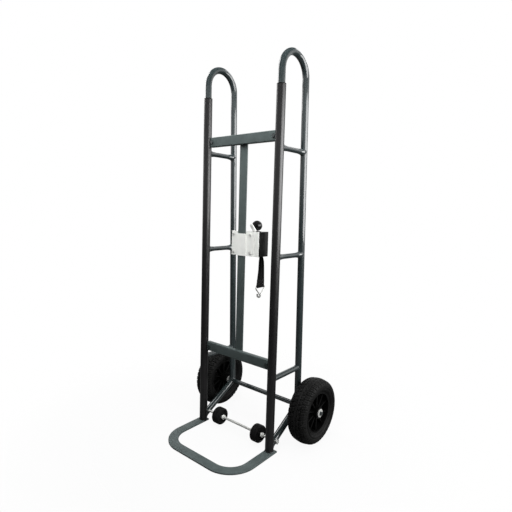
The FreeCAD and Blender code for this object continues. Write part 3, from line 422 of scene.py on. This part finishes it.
FINISH_OF_SLOT = {
    "frame_paint": "charcoal_gloss", "rail_paint": "rail_satin", "zinc_plated_steel": "bright_zinc",
    "tyre_rubber": "black_rubber", "roller_rubber": "black_rubber", "rim_plastic": "moulded_plastic",
    "collar_plastic": "moulded_plastic", "gloss_black_plastic": "gloss_plastic", "bush_nylon": "pale_nylon",
}
# The roller stops, crank nut and knob stud take the zinc with painted reflection
FINISH_OF_NODE = {
    "strap_hook": "grey_zinc", "roller_axle": "dull_zinc", "roller_axle_nuts": "grey_zinc",
    "axle_washers": "dull_zinc", "roller_stops": "white_zinc", "crank_nut": "white_zinc",
    "knob_stud": "white_zinc", "clamp_screws": "dull_zinc",
}
finishes = {}


def finish_called(name):
    """A finish from its recipe, made once."""
    if name not in finishes:
        setting, share, sockets, *noises = RECIPES[name]
        colour = tuple(c * share for c in getattr(bpy.context.scene.truck_finish, setting))
        finishes[name] = Finish(name, colour, **sockets).weather(*noises)
    return finishes[name]


def woven_web(finish, strap):
    """Webbing: ribs across the strap crossed by warp yarns, on the strap's own map in metres."""
    made = Finish("woven_web", finish.webbing, Sheen_Weight=0.01, Sheen_Roughness=0.45,
                  Specular_IOR_Level=0.06)
    lay = made.add("ShaderNodeUVMap", uv_map="weave").outputs["UV"]
    waves = []
    for axis, pitch in (("X", strap.rib), ("Y", strap.rib * 1.3)):
        wave = made.add("ShaderNodeTexWave", lay, Scale=math.pi / (10 * pitch), Distortion=0.4,
                        bands_direction=axis)
        waves.append(wave.outputs["Fac"])
    cross = made.math("MULTIPLY", *waves)
    return made.tint(cross, 0.6, 2.2).rough(cross, 0.68, 0.9).bump(cross, 0.00035, 0.8).material


def sewing_thread(finish):
    """Twisted polyester thread."""
    made = Finish("sewing_thread", tuple(c * 4 for c in finish.webbing), Roughness=0.55, Sheen_Weight=0.2)
    made.tint(made.spread(made.noise(600, 3), 0, 1), 0.7, 1.4)
    return made.bump(made.noise(1800, 2), 0.0001, 0.5).material


class TRUCK_OT_finishes(bpy.types.Operator):
    """Paint, plate and mould every solid that keeps its own shape"""
    bl_idname = "truck.finishes"
    bl_label = "Finishes"

    def execute(self, context):
        for name, solid in NODES.items():
            solid.data.materials.clear()
            finish = FINISH_OF_NODE.get(name) or FINISH_OF_SLOT.get(SLOT_OF[name])
            if finish:
                solid.data.materials.append(finish_called(finish))
        return {"FINISHED"}


# Steel frame

# How much a weld's ripples swell its bead, and a rung's most radius as a share of the side tube's
RIPPLE_SHARE, RUNG_FIT = 0.14, 0.97


def toe_bar(steel):
    """The toe: a rounded flat bar carried along a U of straights and quarter circles."""
    low, high = node_box("toe_plate")
    width, thickness = steel.toe_width, high[2] - low[2]
    reach = steel.toe_corner + width / 2
    out, front = high[0] - width / 2, low[1] + width / 2
    count = 25
    turn = np.linspace(0, math.pi / 2, count)
    right = np.stack([out - reach + reach * np.cos(turn), front + reach - reach * np.sin(turn)], -1)
    path = np.concatenate([[[out, high[1]]], right, right[::-1] * (-1, 1), [[-out, high[1]]]])
    along = np.gradient(path, axis=0)
    along[[0, 1, count, count + 1, -2, -1]] = [[0, -1], [0, -1], [-1, 0], [-1, 0], [0, 1], [0, 1]]
    along = unit(along)
    across = crossed(along[:, 1], -along[:, 0], 0)
    path = crossed(*path.T, (low[2] + high[2]) / 2)
    return bar_shell(path, across, Z_WAY, width, thickness, steel.edge)


def channel(node, steel):
    """A cross channel: a C with bent corners carried along X."""
    low, high = node_box(node)
    wall, tip = steel.wall, steel.wall * 0.3
    (front, bottom), (back, top) = low[1:], high[1:]
    corners = [(front, bottom), (front, top), (back, top), (back, top - wall), (front + wall, top - wall),
               (front + wall, bottom + wall), (back, bottom + wall), (back, bottom)]
    radii = [steel.bend, steel.bend, tip, tip, steel.bend - wall, steel.bend - wall, tip, tip]
    return shell(crossed([[low[0]], [high[0]]], *rounded(corners, radii).T), capped=True)


def upright_bar(node, radius):
    """A rounded upright bar that fills a node's box."""
    middle, (width, thickness, height) = node_middle(node), node_size(node)
    half = Z_WAY * height / 2
    return bar_shell(np.array([middle - half, middle + half]), X_WAY, Y_WAY, width, thickness, radius)


def saddle(radius, start, way, post, post_radius):
    """Where a tube meets an upright post: on each of its lines, the first root of distance = post radius."""
    turn = circle(CURVE_COUNT)[:, None]
    level = unit(np.cross(way, Z_WAY))
    ring = start + radius * (np.cos(turn) * level + np.sin(turn) * np.cross(level, way))
    offset = ring[:, :2] - post
    a, b, c = way[:2] @ way[:2], 2 * offset @ way[:2], (offset ** 2).sum(1) - post_radius ** 2
    return ring + ((-b - np.sqrt(b * b - 4 * a * c)) / (2 * a))[:, None] * way


def weld_bead(curve, steel):
    """A bead round a closed curve: a ring of radius r * (1 + share * cos) along it, its ripples."""
    ahead = unit(np.roll(curve, -1, 0) - np.roll(curve, 1, 0))
    out = curve - curve.mean(0)
    out = unit(out - (out * ahead).sum(1)[:, None] * ahead)
    side = np.cross(ahead, out)
    step = np.linalg.norm(np.roll(curve, -1, 0) - curve, axis=1)
    run = (np.cumsum(step) - step) / step.sum()
    ripples = round(step.sum() / steel.ripple)
    reach = (steel.bead * (1 + RIPPLE_SHARE * np.cos(2 * math.pi * ripples * run)))[:, None, None]
    ring = circle(8)[:, None]
    return shell(curve[:, None] + reach * (np.cos(ring) * out[:, None] + np.sin(ring) * side[:, None]),
                 round_rows=True)


def leg_back(height, steel):
    """Y of the rear leg's middle line at a height: a straight line from the handle's arch to the axle."""
    axle = HINGES["left_wheel_spin"]
    tube_top, tube_radius = node_box("left_side_tube")[1][2], node_size("left_side_tube")[0] / 2
    arch_height = tube_top - tube_radius - steel.arch
    arch_back = node_middle("left_rail")[1] + steel.arch * 2
    return arch_back + (axle[1] - arch_back) * (arch_height - height) / (arch_height - axle[2])


def brace_way(axle, target, steel):
    """Direction of the brace, and of the bend's middle from its corner, found by a few repeats."""
    corner = axle
    for _ in range(8):
        way = unit(target - corner)
        inward = unit(way + Z_WAY)
        corner = axle - inward * steel.leg_bend * (1 / math.cos(math.acos(-way[2]) / 2) - 1)
    return way, inward


def frame_welds(steel):
    """Beads round every rung, brace, rail foot and axle tube end."""
    curves = []
    ring = np.stack([np.cos(circle(CURVE_COUNT)), np.sin(circle(CURVE_COUNT))], -1)
    for side, sign in SIDES:
        rail = node_middle(f"{side}_rail")[:2]
        rail_radius, tube_radius = (node_size(f"{side}_{tube}")[0] / 2 for tube in ("rail", "side_tube"))
        for rung in ("upper_spindle", "middle_spindle", "lower_rung"):
            height = node_middle(f"{side}_{rung}")[2]
            radius = min(node_size(f"{side}_{rung}")[2] / 2, tube_radius * RUNG_FIT)
            leg = np.array([rail[0], leg_back(height, steel)])
            start = np.append((rail + leg) / 2, height)
            curves += [saddle(radius, start, -Y_WAY, rail, rail_radius),
                       saddle(radius, start, Y_WAY, leg, tube_radius)]
        target = HINGES[f"{side}_roller_spin"] - steel.brace_drop * Z_WAY
        axle = HINGES[f"{side}_wheel_spin"].copy()
        axle[0] = target[0] = rail[0]
        brace, inward = brace_way(axle, target, steel)
        curves.append(saddle(tube_radius, target, brace, rail, rail_radius))
        foot = np.pad(ring * rail_radius, ((0, 0), (0, 1)))
        curves.append(foot + [*rail, node_box(f"{side}_rail")[0][2] + steel.bead * 0.2])
        sleeve = np.pad(ring * node_size("axle_tube")[2] / 2, ((0, 0), (1, 0)))
        depth = np.sqrt(tube_radius ** 2 - (sleeve @ inward) ** 2)
        curves.append(axle + sleeve - sign * depth[:, None] * X_WAY)
    return [weld_bead(curve, steel) for curve in curves]


class TRUCK_OT_frame(bpy.types.Operator):
    """Toe bar, cross channels and centre bar with rounded edges, and the frame's welds"""
    bl_idname = "truck.frame"
    bl_label = "Frame"

    def execute(self, context):
        steel = context.scene.truck_frame
        # The flat steel's finish carries painted sheen in its paler colour
        paint = finish_called("charcoal_sheet")
        for name, node, made in (
                ("toe_bar", "toe_plate", toe_bar(steel)),
                ("upper_channel", "upper_cross_channel", channel("upper_cross_channel", steel)),
                ("lower_channel", "lower_cross_channel", channel("lower_cross_channel", steel)),
                ("flat_centre_bar", "centre_bar", upright_bar("centre_bar", steel.edge))):
            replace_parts(piece(name, [made], paint, "frame"), node)
        piece("weld_beads", frame_welds(steel), finish_called("charcoal_gloss"), "frame", SOFT)
        return {"FINISHED"}


# Winder

# Its solids with eased edges: the width of the easing, the finish and the body. The plates and the crank arm take
# the zinc with painted reflection
EASED = (("winder_bracket", 0.0007, "white_zinc", "frame"), ("reel_plate", 0.0005, "white_zinc", "frame"),
         ("reel_casing", 0.0012, "gloss_plastic", "frame"), ("crank_arm", 0.0006, "white_zinc", "reel"))


class TRUCK_OT_winder(bpy.types.Operator):
    """Winder's plates, casing and crank arm with eased edges"""
    bl_idname = "truck.winder"
    bl_label = "Winder"

    def execute(self, context):
        for node, width, finish, body in EASED:
            eased_copy(node, width, finish_called(finish), body)
        return {"FINISHED"}


# Wheels

# Distances of the ring grooves from the tread's middle line, how far two of them swing, the slants of the
# cross grooves, and the length over which a groove's wall falls
CENTRE_GROOVE, RING_GROOVE, BAND_GROOVE = 0.0062, 0.0200, 0.0345
CENTRE_SWING, RING_SWING = 0.0012, 0.0015
MIDDLE_SLANT, LUG_SLANT = 0.5, 0.25
GROOVE_EDGE = 0.001
# Where the lugs and the slits start and end, and the lengths over which they set in and run out
LUG_SPAN, SLIT_SPAN = (0.019, 0.0500, 0.002, 0.004), (0.025, 0.043, 0.002, 0.003)
# Tyre's half width at the bead, the height over which the wall leans in to it, and that of a point inside
BEAD_HALF, BEAD_KNEE, BEAD_INSIDE = 0.031, 0.014, 0.012
# The wall's rings: share of the way from the shoulder to the bead, and depth in metres
WALL_RINGS = np.array([
    (0.06, 0), (0.16, 0), (0.2, 0.0004), (0.24, 0.0028), (0.42, 0.0028), (0.46, 0.0004), (0.51, 0), (0.66, 0),
    (0.7, 0.0004), (0.76, 0.0006), (0.79, 0.0022), (0.87, 0.0022), (0.9, 0.0003), (0.96, 0), (1, 0)])
# Radius of a roller's shoulder
ROLLER_SHOULDER = 0.007


def smooth_step(value):
    """3 v^2 - 2 v^3, held to 0..1."""
    value = np.clip(value, 0, 1)
    return value * value * (3 - 2 * value)


def groove(distance, width):
    """1 inside a groove of a width, falling to 0 over its edge."""
    return smooth_step((width / 2 - np.abs(distance)) / GROOVE_EDGE + 0.5)


def between(place, start, end, rise, fall):
    """1 between a start and an end, set in over a rise and run out over a fall."""
    return smooth_step((place - start) / rise) * smooth_step((end - place) / fall)


def zigzag(turns):
    """A triangle wave from -1 to 1."""
    return 4 * np.abs(turns - np.floor(turns + 0.5)) - 1


def nearest(turns):
    """Signed distance, in turns, to the nearest whole turn."""
    return turns - np.round(turns)


def tyre_outline(tyre, radius, half, bead_radius):
    """Half outline from crown to bead: along, radius and arc length over the tread (endless on the wall)."""
    flat = half - tyre.shoulder
    sweep = (flat ** 2 + tyre.crown ** 2) / (2 * tyre.crown)
    crown = np.linspace(0, math.asin(flat / sweep), 15)
    bend = np.linspace(0, math.pi / 2, 27)[1:]
    side_top = radius - tyre.crown - tyre.shoulder
    along = np.concatenate([sweep * np.sin(crown), flat + tyre.shoulder * np.sin(bend)])
    rise = np.concatenate([radius - sweep * (1 - np.cos(crown)), side_top + tyre.shoulder * np.cos(bend)])
    tread = run_along(along, rise)
    share, sunk = WALL_RINGS.T
    wall_rise = side_top + (bead_radius - side_top) * share
    lean = (wall_rise - bead_radius) * (half - BEAD_HALF) / BEAD_KNEE
    wall_along = np.minimum(half, BEAD_HALF + lean)
    return (np.append(along, wall_along - sunk), np.append(rise, wall_rise),
            np.append(tread, np.full(share.size, np.inf)))


def tread_depth(turn, tread, side, tyre, pitch):
    """Share of the groove depth at a turn (in pitches) and a place across the tread: its deepest groove."""
    centre = groove(tread - CENTRE_GROOVE - CENTRE_SWING * zigzag(turn), tyre.groove * 0.6) * 0.8
    ring = groove(tread - RING_GROOVE - RING_SWING * zigzag(turn + 0.5), tyre.groove)
    middle = groove(nearest(turn + side * tread * MIDDLE_SLANT / pitch) * pitch, tyre.groove * 0.75)
    middle = middle * (tread > CENTRE_GROOVE) * (tread < RING_GROOVE)
    slant = turn + side * (tread - RING_GROOVE) * LUG_SLANT / pitch
    lug = groove(nearest(slant + 0.5) * pitch, tyre.groove * 1.25) * between(tread, *LUG_SPAN)
    slit = groove(nearest(slant) * pitch, tyre.groove * 0.5) * 0.7 * between(tread, *SLIT_SPAN)
    band = groove(tread - BAND_GROOVE, tyre.groove * 0.5) * 0.7
    return np.maximum.reduce(np.broadcast_arrays(centre, ring, middle, lug, slit, band))


def tyre_shell(side, tyre):
    """The tyre as a closed surface of turn x outline, sunk along its normal by the tread's depth."""
    half, _, radius = node_size(f"{side}_tyre") / 2
    bead_radius = node_size(f"{side}_rim")[2] / 2 + PLAY
    right = np.array(tyre_outline(tyre, radius, half, bead_radius))
    along, rise, tread = np.concatenate([right, right[:, :0:-1] * [[-1], [1], [1]]], 1)
    line = crossed(along, rise)
    way = np.roll(line, -1, 0) - np.roll(line, 1, 0)
    normal = unit(way[:, ::-1] * (-1, 1))
    normal *= np.sign((normal * (line - [0, bead_radius + BEAD_INSIDE])).sum(1))[:, None]
    count = tyre.pitches * tyre.steps
    turn = (np.arange(count) / tyre.steps)[:, None]
    on_tread = np.isfinite(tread)
    depth = tread_depth(turn, np.where(on_tread, tread, 1.0), np.where(along < 0, -1.0, 1.0), tyre,
                        2 * math.pi * radius / tyre.pitches)
    sunk = depth * on_tread * tyre.depth
    angle = turn / tyre.pitches * 2 * math.pi
    reach = rise - normal[:, 1] * sunk
    grid = crossed(along - normal[:, 0] * sunk, reach * np.cos(angle), reach * np.sin(angle))
    return shell(grid + HINGES[f"{side}_wheel_spin"], round_rows=True)


def roller_shell(side):
    """A roller: a closed outline with recessed faces, round shoulders and fine grooves, turned about X."""
    half, _, radius = node_size(f"{side}_roller") / 2
    bore = node_size(f"{side}_roller_bush")[2] / 2 + PLAY
    bend = ROLLER_SHOULDER
    turn = np.linspace(0, math.pi / 2, 9)
    face = np.array([[0, bore], [0, bore + 0.0050], [-0.0004, bore + 0.0056], [-0.0022, bore + 0.0064],
                     [-0.0024, bore + 0.0072], [-0.0024, radius - 0.0110], [-0.0021, radius - 0.0104],
                     [-0.0004, radius - 0.0092], [0, radius - 0.0084]]) + [half, 0]
    shoulder = np.stack([half - bend + bend * np.cos(turn), radius - bend + bend * np.sin(turn)], -1)
    tread = np.array([[0.0062, 0], [0.0057, -0.0009], [0.0049, -0.0009], [0.0044, 0]]) + [0, radius]
    outline = np.concatenate([face, shoulder, tread])
    outline = np.concatenate([outline, outline[::-1] * (-1, 1)])
    (along, reach), angle = outline.T, circle(CURVE_COUNT)[:, None]
    grid = crossed(along, reach * np.cos(angle), reach * np.sin(angle))
    return shell(grid + HINGES[f"{side}_roller_spin"], round_rows=True)


class TRUCK_OT_wheels(bpy.types.Operator):
    """Tyres with block tread and ringed walls, and rollers with recessed faces"""
    bl_idname = "truck.wheels"
    bl_label = "Wheels"

    def execute(self, context):
        for side, _ in SIDES:
            made = piece(f"{side}_treaded_tyre", [tyre_shell(side, context.scene.truck_tyre)],
                         finish_called("black_rubber"), f"{side}_wheel", TREAD_SHARP)
            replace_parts(made, f"{side}_tyre")
            made = piece(f"{side}_grooved_roller", [roller_shell(side)], finish_called("black_rubber"),
                         f"{side}_small_wheel")
            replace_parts(made, f"{side}_roller")
        return {"FINISHED"}


# Strap

# Share of the drop from the reel to the hook, share of the full width there, share of the way out of the roll
STRAP_STATIONS = np.array([
    (-0.01, 1, 0), (0.09, 0.97, 0.12), (0.16, 0.72, 0.45), (0.21, 0.35, 0.8), (0.262, 0, 1), (0.31, 0.06, 1),
    (0.4, 0.5, 1), (0.54, 0.68, 1), (0.69, 0.83, 1), (0.82, 0.95, 1), (0.9, 1, 1), (0.93, 1, 1)])
# Where the strap leaves the roll, from the reel's axis; the hook's wire with its play; the roll's radii
ROLL_SIDE = 0.0304
WIRE_RADIUS = 0.00255
ROLL_INSIDE, ROLL_OUTSIDE = 0.0109, 0.0283
# Steps between the lap's layers and between the roll's turns, in thicknesses
LAP_STEP, TURN_STEP = 1.04, 1.05
# A stitch's length and radius, the step to the next in lengths, and a box's inset from the strap's edges
STITCH_LENGTH, STITCH_RADIUS, STITCH_STEP, SEAM_INSET = 0.0026, 0.00038, 1.35, 0.004


def fold_height(width, flat_width, folds):
    """Half height of a cosine fold whose length across is the flat width, by halving the range."""
    share = np.linspace(0, 1, 161)[None, :]
    low, high = np.zeros_like(width), np.full_like(width, flat_width)
    for _ in range(40):
        middle = (low + high) / 2
        slope = middle[:, None] * math.pi * folds * np.sin(math.pi * folds * share)
        length = np.sqrt(width[:, None] ** 2 + slope ** 2).mean(1)
        short = length < flat_width
        low, high = np.where(short, middle, low), np.where(short, high, middle)
    return (low + high) / 2


def strap_line(strap):
    """The strap's middle line from the roll to the end of the lap: x, z and width at each station."""
    hook, reel = HINGES["hook_swing"], HINGES["reel_crank"]
    drop = reel[2] - hook[2]
    share, widen, throat = STRAP_STATIONS.T
    fine = np.linspace(share[0], share[-1], 150)
    soft = np.hanning(9) / np.hanning(9).sum()

    def eased(values):
        drawn = np.interp(fine, share, values)
        return np.convolve(np.pad(drawn, 4, mode="edge"), soft, "valid")

    roll_x = reel[0] + ROLL_SIDE
    x = roll_x + (hook[0] - roll_x) * eased(throat)
    z = reel[2] - drop * fine
    width = strap.neck + (strap.width - strap.neck) * eased(widen)
    ring = WIRE_RADIUS + strap.thickness / 2
    t = np.linspace(0, 1, 12)[1:]
    arc = np.linspace(math.pi, 2 * math.pi, 17)[1:]
    lap = strap.thickness * LAP_STEP
    rise = strap.seam * 0.3
    loop_x = np.concatenate([-ring * smooth_step(t), ring * np.cos(arc), ring + (lap - ring) * smooth_step(t),
                             np.full(14, lap)]) + hook[0]
    loop_z = np.concatenate([z[-1] + (hook[2] - z[-1]) * t, hook[2] + ring * np.sin(arc), hook[2] + rise * t,
                             hook[2] + np.linspace(rise, strap.seam + ring, 15)[1:]])
    return (np.append(x, loop_x), np.append(z, loop_z), np.append(width, np.full(loop_x.size, strap.width)))


def web_map(made, across, along):
    """Give a strap its own map in metres, from each vertex's place across and along it."""
    mesh = made.data
    corner = np.zeros(len(mesh.loops), np.int32)
    mesh.loops.foreach_get("vertex_index", corner)
    places = crossed(across, along[:, None]).reshape(-1, 2)[corner]
    mesh.uv_layers.new(name="weave").data.foreach_set("uv", places.astype(np.float32).ravel())


def sheet_piece(name, grid, finish, body, thickness):
    """A sheet of webbing through a grid of points, with its thickness half on each side."""
    surface = (grid.reshape(-1, 3), grid_faces(*grid.shape[:2]), [])
    made = piece(name, [surface], finish, body, SOFT)
    solid = made.modifiers.new("thickness", "SOLIDIFY")
    solid.thickness = thickness
    solid.offset = 0.0
    return made


def strap_web(finish, strap):
    """The web as a surface of station x place across: cosine folds whose length is the strap's width."""
    x, z, width = strap_line(strap)
    share = np.linspace(0, 1, 65)
    height = fold_height(width, strap.width, strap.folds)
    grid = crossed(x[:, None] + height[:, None] * np.cos(math.pi * strap.folds * share),
                   HINGES["hook_swing"][1] + width[:, None] * (share - 0.5), z[:, None])
    made = sheet_piece("strap_web", grid, finish, "frame", strap.thickness)
    run = run_along(x, z)
    web_map(made, share * strap.width, run)
    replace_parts(made, "strap_tail")
    return made, run[-1]


def seam(name, strap, lift, finish):
    """Stitches of a sewn box with a cross in it: one lozenge of rings, carried to every stitch at once."""
    half, bottom, top = strap.width / 2 - SEAM_INSET, strap.seam * 0.36, strap.seam + 0.0005
    corners = np.array([[-half, bottom], [half, bottom], [half, top], [-half, top]])
    starts = np.concatenate([corners, corners[:2]])
    rows = np.concatenate([np.roll(corners, -1, 0), corners[2:]]) - starts
    counts = np.maximum((np.linalg.norm(rows, axis=1) / (STITCH_LENGTH * STITCH_STEP)).astype(int), 1)
    row = np.repeat(np.arange(len(rows)), counts)
    place = (np.arange(counts.sum()) - np.repeat(np.cumsum(counts) - counts, counts) + 0.5) / counts[row]
    centre = (starts[row] + rows[row] * place[:, None])[:, None, None]
    along = unit(rows[row])[:, None, None]
    across = np.stack([-along[..., 1], along[..., 0]], -1)
    rings, sides = 5, 8
    ring = circle(sides)
    shift = np.array([-0.5, -0.3, 0, 0.3, 0.5])[:, None, None] * STITCH_LENGTH
    girth = np.array([0.25, 0.85, 1.0, 0.85, 0.25])[:, None] * STITCH_RADIUS
    flat = centre + shift * along + (girth * np.cos(ring))[..., None] * across
    out = lift + girth * np.sin(ring) * 0.8
    points = crossed(out, flat[..., 0], flat[..., 1]).reshape(-1, 3) + HINGES["hook_swing"]
    start = (np.arange(counts.sum()) * rings * sides)[:, None, None]
    faces = (grid_faces(rings, sides, round_columns=True) + start).reshape(-1, 4)
    ends = np.stack([np.arange(sides)[::-1], np.arange(sides) + (rings - 1) * sides])
    stitches = (points, faces, list((ends + start).reshape(-1, sides)))
    return piece(name, [stitches], finish, "frame", SOFT)


def wound_strap(finish, strap):
    """The strap on the spool: a spiral whose radius grows by a little over its thickness each turn."""
    pitch = strap.thickness * TURN_STEP
    turns = (ROLL_OUTSIDE - ROLL_INSIDE) / pitch
    angle = np.linspace(0, turns * 2 * math.pi, int(turns * 40))
    radius = ROLL_INSIDE + pitch * angle / (2 * math.pi)
    across = np.linspace(-0.5, 0.5, 9) * strap.width
    x, z = radius * np.cos(angle), radius * np.sin(angle)
    grid = crossed(x[:, None], across, z[:, None]) + HINGES["reel_crank"]
    made = sheet_piece("wound_strap", grid, finish, "reel", strap.thickness)
    run = run_along(x, z)
    web_map(made, across, run)
    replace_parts(made, "strap_roll")
    return made, run[-1]


class TRUCK_OT_strap(bpy.types.Operator):
    """Strap: gathered web with its sewn loop, its stitches and the turns on the spool"""
    bl_idname = "truck.strap"
    bl_label = "Strap"

    def execute(self, context):
        strap = context.scene.truck_strap
        web = woven_web(context.scene.truck_finish, strap)
        thread = sewing_thread(context.scene.truck_finish)
        tail, length = strap_web(web, strap)
        seams = [seam("seam_right", strap, strap.thickness * (LAP_STEP + 0.5), thread),
                 seam("seam_left", strap, -strap.thickness / 2, thread)]
        roll, length = wound_strap(web, strap)
        return {"FINISHED"}


# Studio

# How white the floor is to the camera and to gloss, its paper's albedo to the camera and to bounced light,
# and the distances over which it fades away
FLOOR_WHITE, FLOOR_GLOSS = 0.93, 0.1
PAPER_SEEN, PAPER_BOUNCE = 0.5, 0.08
FLOOR_FADE = (0.45, 1.15)
# How bright the dim room is to gloss, and the fill that everything else gets
ROOM_DIM, ROOM_FILL = 0.06, 0.09


def area_lamp(name, place, target, width, height, power, mirrored=True, spread=180):
    """A soft lamp aimed at a target, which gloss may mirror, with its spread in degrees."""
    lamp = bpy.data.lights.new(name, "AREA")
    lamp.shape = "RECTANGLE"
    lamp.size, lamp.size_y = width, height
    lamp.energy = power
    lamp.spread = math.radians(spread)
    made = placed(name, lamp)
    made.location = place
    way = Vector(target) - Vector(place)
    made.rotation_euler = way.to_track_quat("-Z", "Y").to_euler()
    made.visible_camera = False
    made.visible_glossy = mirrored


def studio_floor(studio):
    """A disc in rings of growing radius that fades away: near white with the truck's shadow to the camera,
    dim to gloss, and dark paper to bounced light, so that it doesn't light the truck from below."""
    rows, columns = 8, CURVE_COUNT
    ring = circle(columns)
    radius = (np.linspace(0.02, 1, rows) ** 1.5)[:, None] * studio.floor
    points = crossed(radius * np.cos(ring), radius * np.sin(ring), 0)
    mesh = bpy.data.meshes.new("studio_floor")
    faces = grid_faces(rows, columns, round_columns=True)
    mesh.from_pydata(points.reshape(-1, 3).tolist(), [], faces[:, ::-1].tolist() + [list(range(columns))])
    made = placed("studio_floor", mesh)
    material = bpy.data.materials.new("studio_floor")
    material.use_nodes = True
    material.node_tree.nodes.clear()
    nodes = Nodes(material.node_tree)
    path = nodes.add("ShaderNodeLightPath")
    looked = nodes.math("MAXIMUM", path.outputs["Is Camera Ray"], path.outputs["Is Transmission Ray"])
    share = nodes.math("MAXIMUM", nodes.math("MULTIPLY", looked, FLOOR_WHITE),
                       nodes.math("MULTIPLY", path.outputs["Is Glossy Ray"], FLOOR_GLOSS))
    pale = nodes.math("MULTIPLY", path.outputs["Is Camera Ray"], PAPER_SEEN)
    pale = nodes.math("MAXIMUM", pale, PAPER_BOUNCE)
    paper = nodes.add("ShaderNodeBsdfDiffuse", pale).outputs["BSDF"]
    glow = nodes.add("ShaderNodeEmission").outputs["Emission"]
    lit = nodes.add("ShaderNodeMixShader", share, paper, glow).outputs["Shader"]
    place = nodes.add("ShaderNodeTexCoord").outputs["Object"]
    distance = nodes.add("ShaderNodeVectorMath", place, operation="LENGTH").outputs["Value"]
    clear = nodes.add("ShaderNodeBsdfTransparent").outputs["BSDF"]
    faded = nodes.add("ShaderNodeMixShader", nodes.ramp(distance, *FLOOR_FADE, 0.0, 1.0), lit, clear)
    nodes.add("ShaderNodeOutputMaterial", faded.outputs["Shader"])
    mesh.materials.append(material)


def white_world():
    """White to the camera. Gloss and glass see white behind the truck and a white band low in front of it, in
    a dim room. Everything else gets a soft fill."""
    world = bpy.data.worlds.new("studio_white")
    bpy.context.scene.world = world
    world.use_nodes = True
    world.node_tree.nodes.clear()
    nodes = Nodes(world.node_tree)
    path = nodes.add("ShaderNodeLightPath")
    way = nodes.add("ShaderNodeTexCoord").outputs["Generated"]
    _, y, z = nodes.add("ShaderNodeSeparateXYZ", way).outputs
    back = nodes.math("MULTIPLY", nodes.ramp(y, 0.05, 0.8, 0.0, 1.0),
                      nodes.ramp(z, -0.3, 0.12, 0.0, 1.0))
    band = nodes.math("MULTIPLY", nodes.ramp(z, -0.12, 0.14, 0.0, 1.0),
                      nodes.ramp(z, 0.2, 0.32, 1.0, 0.0))
    front = nodes.math("MULTIPLY", nodes.ramp(y, -0.55, 0.0, 1.0, 0.0), band)
    around = nodes.math("MULTIPLY", nodes.math("MAXIMUM", back, front),
                        nodes.ramp(z, 0.35, 0.75, 1.0, 0.0))
    room = nodes.math("MAXIMUM", around, ROOM_DIM)
    strength = nodes.math("MAXIMUM", room, path.outputs["Is Camera Ray"])
    fill = nodes.add("ShaderNodeBackground", Strength=ROOM_FILL, Color=(1, 1, 1, 1)).outputs["Background"]
    white = nodes.add("ShaderNodeBackground", None, strength, Color=(1, 1, 1, 1)).outputs["Background"]
    seen = nodes.math("MAXIMUM", path.outputs["Is Camera Ray"], path.outputs["Is Glossy Ray"])
    seen = nodes.math("MAXIMUM", seen, path.outputs["Is Transmission Ray"])
    mixed = nodes.add("ShaderNodeMixShader", seen, fill, white)
    nodes.add("ShaderNodeOutputWorld", mixed.outputs["Shader"])


def photo_camera(studio):
    """A camera at the eye, lifted from looking straight down and turned by yaw, pitch and roll."""
    lens = bpy.data.cameras.new("photo_camera")
    lens.sensor_width = 36
    lens.lens = studio.lens
    turn = Matrix.Translation(studio.eye)
    for angle, axis in ((studio.yaw, "Z"), (90 + studio.pitch, "X"), (studio.roll, "Z")):
        turn = turn @ Matrix.Rotation(math.radians(angle), 4, axis)
    made = placed("photo_camera", lens)
    made.matrix_world = turn
    bpy.context.scene.camera = made


class TRUCK_OT_studio(bpy.types.Operator):
    """Camera, pale floor, white surroundings and soft lamps"""
    bl_idname = "truck.studio"
    bl_label = "Studio"

    def execute(self, context):
        studio = context.scene.truck_studio
        context.scene.view_settings.view_transform = "Standard"
        photo_camera(studio)
        studio_floor(studio)
        white_world()
        middle, upper = (0, 0, 1.0), (0, 0, 1.3)
        area_lamp("side_soft", (2.24, 0.42, 1.25), middle, 2.6, 1.25, 84)
        area_lamp("front_key", (0.35, -0.9, 2.1), upper, 1.0, 1.0, 11, mirrored=False, spread=90)
        area_lamp("overhead", (0, 0.2, 3.0), middle, 1.5, 1.5, 54, mirrored=False)
        area_lamp("back_top", (0.2, 2.2, 2.9), middle, 1.8, 0.9, 10)
        area_lamp("left_fill", (-2.6, -0.8, 1.7), middle, 0.3, 2.0, 6)
        area_lamp("left_top", (-1.5, -0.1, 2.2), middle, 0.6, 1.2, 15)
        return {"FINISHED"}


class TRUCK_PT_panel(bpy.types.Panel):
    """Lists the truck's settings and steps"""
    bl_idname = "TRUCK_PT_panel"
    bl_label = "Hand Truck"
    bl_space_type = "VIEW_3D"
    bl_region_type = "UI"
    bl_category = "Hand Truck"

    def draw(self, context):
        for name, group in GROUPS.items():
            box = self.layout.box()
            for setting in group.__annotations__:
                box.prop(getattr(context.scene, name), setting)
        for step in STEPS:
            self.layout.operator(step.bl_idname)


GROUPS = {"truck_finish": FinishSettings, "truck_frame": FrameSettings, "truck_tyre": TyreSettings,
          "truck_strap": StrapSettings, "truck_studio": StudioSettings}
STEPS = (TRUCK_OT_studio, TRUCK_OT_finishes, TRUCK_OT_frame, TRUCK_OT_winder, TRUCK_OT_wheels, TRUCK_OT_strap)


def register():
    for kind in (*GROUPS.values(), *STEPS, TRUCK_PT_panel):
        bpy.utils.register_class(kind)
    for name, kind in GROUPS.items():
        setattr(bpy.types.Scene, name, PointerProperty(type=kind))


def unregister():
    for name in GROUPS:
        delattr(bpy.types.Scene, name)
    for kind in reversed((*GROUPS.values(), *STEPS, TRUCK_PT_panel)):
        bpy.utils.unregister_class(kind)


def main():
    register()
    bpy.ops.truck.studio()
    bpy.ops.truck.finishes()
    bpy.ops.truck.frame()
    bpy.ops.truck.winder()
    bpy.ops.truck.wheels()
    bpy.ops.truck.strap()


if __name__ == "__main__":
    main()
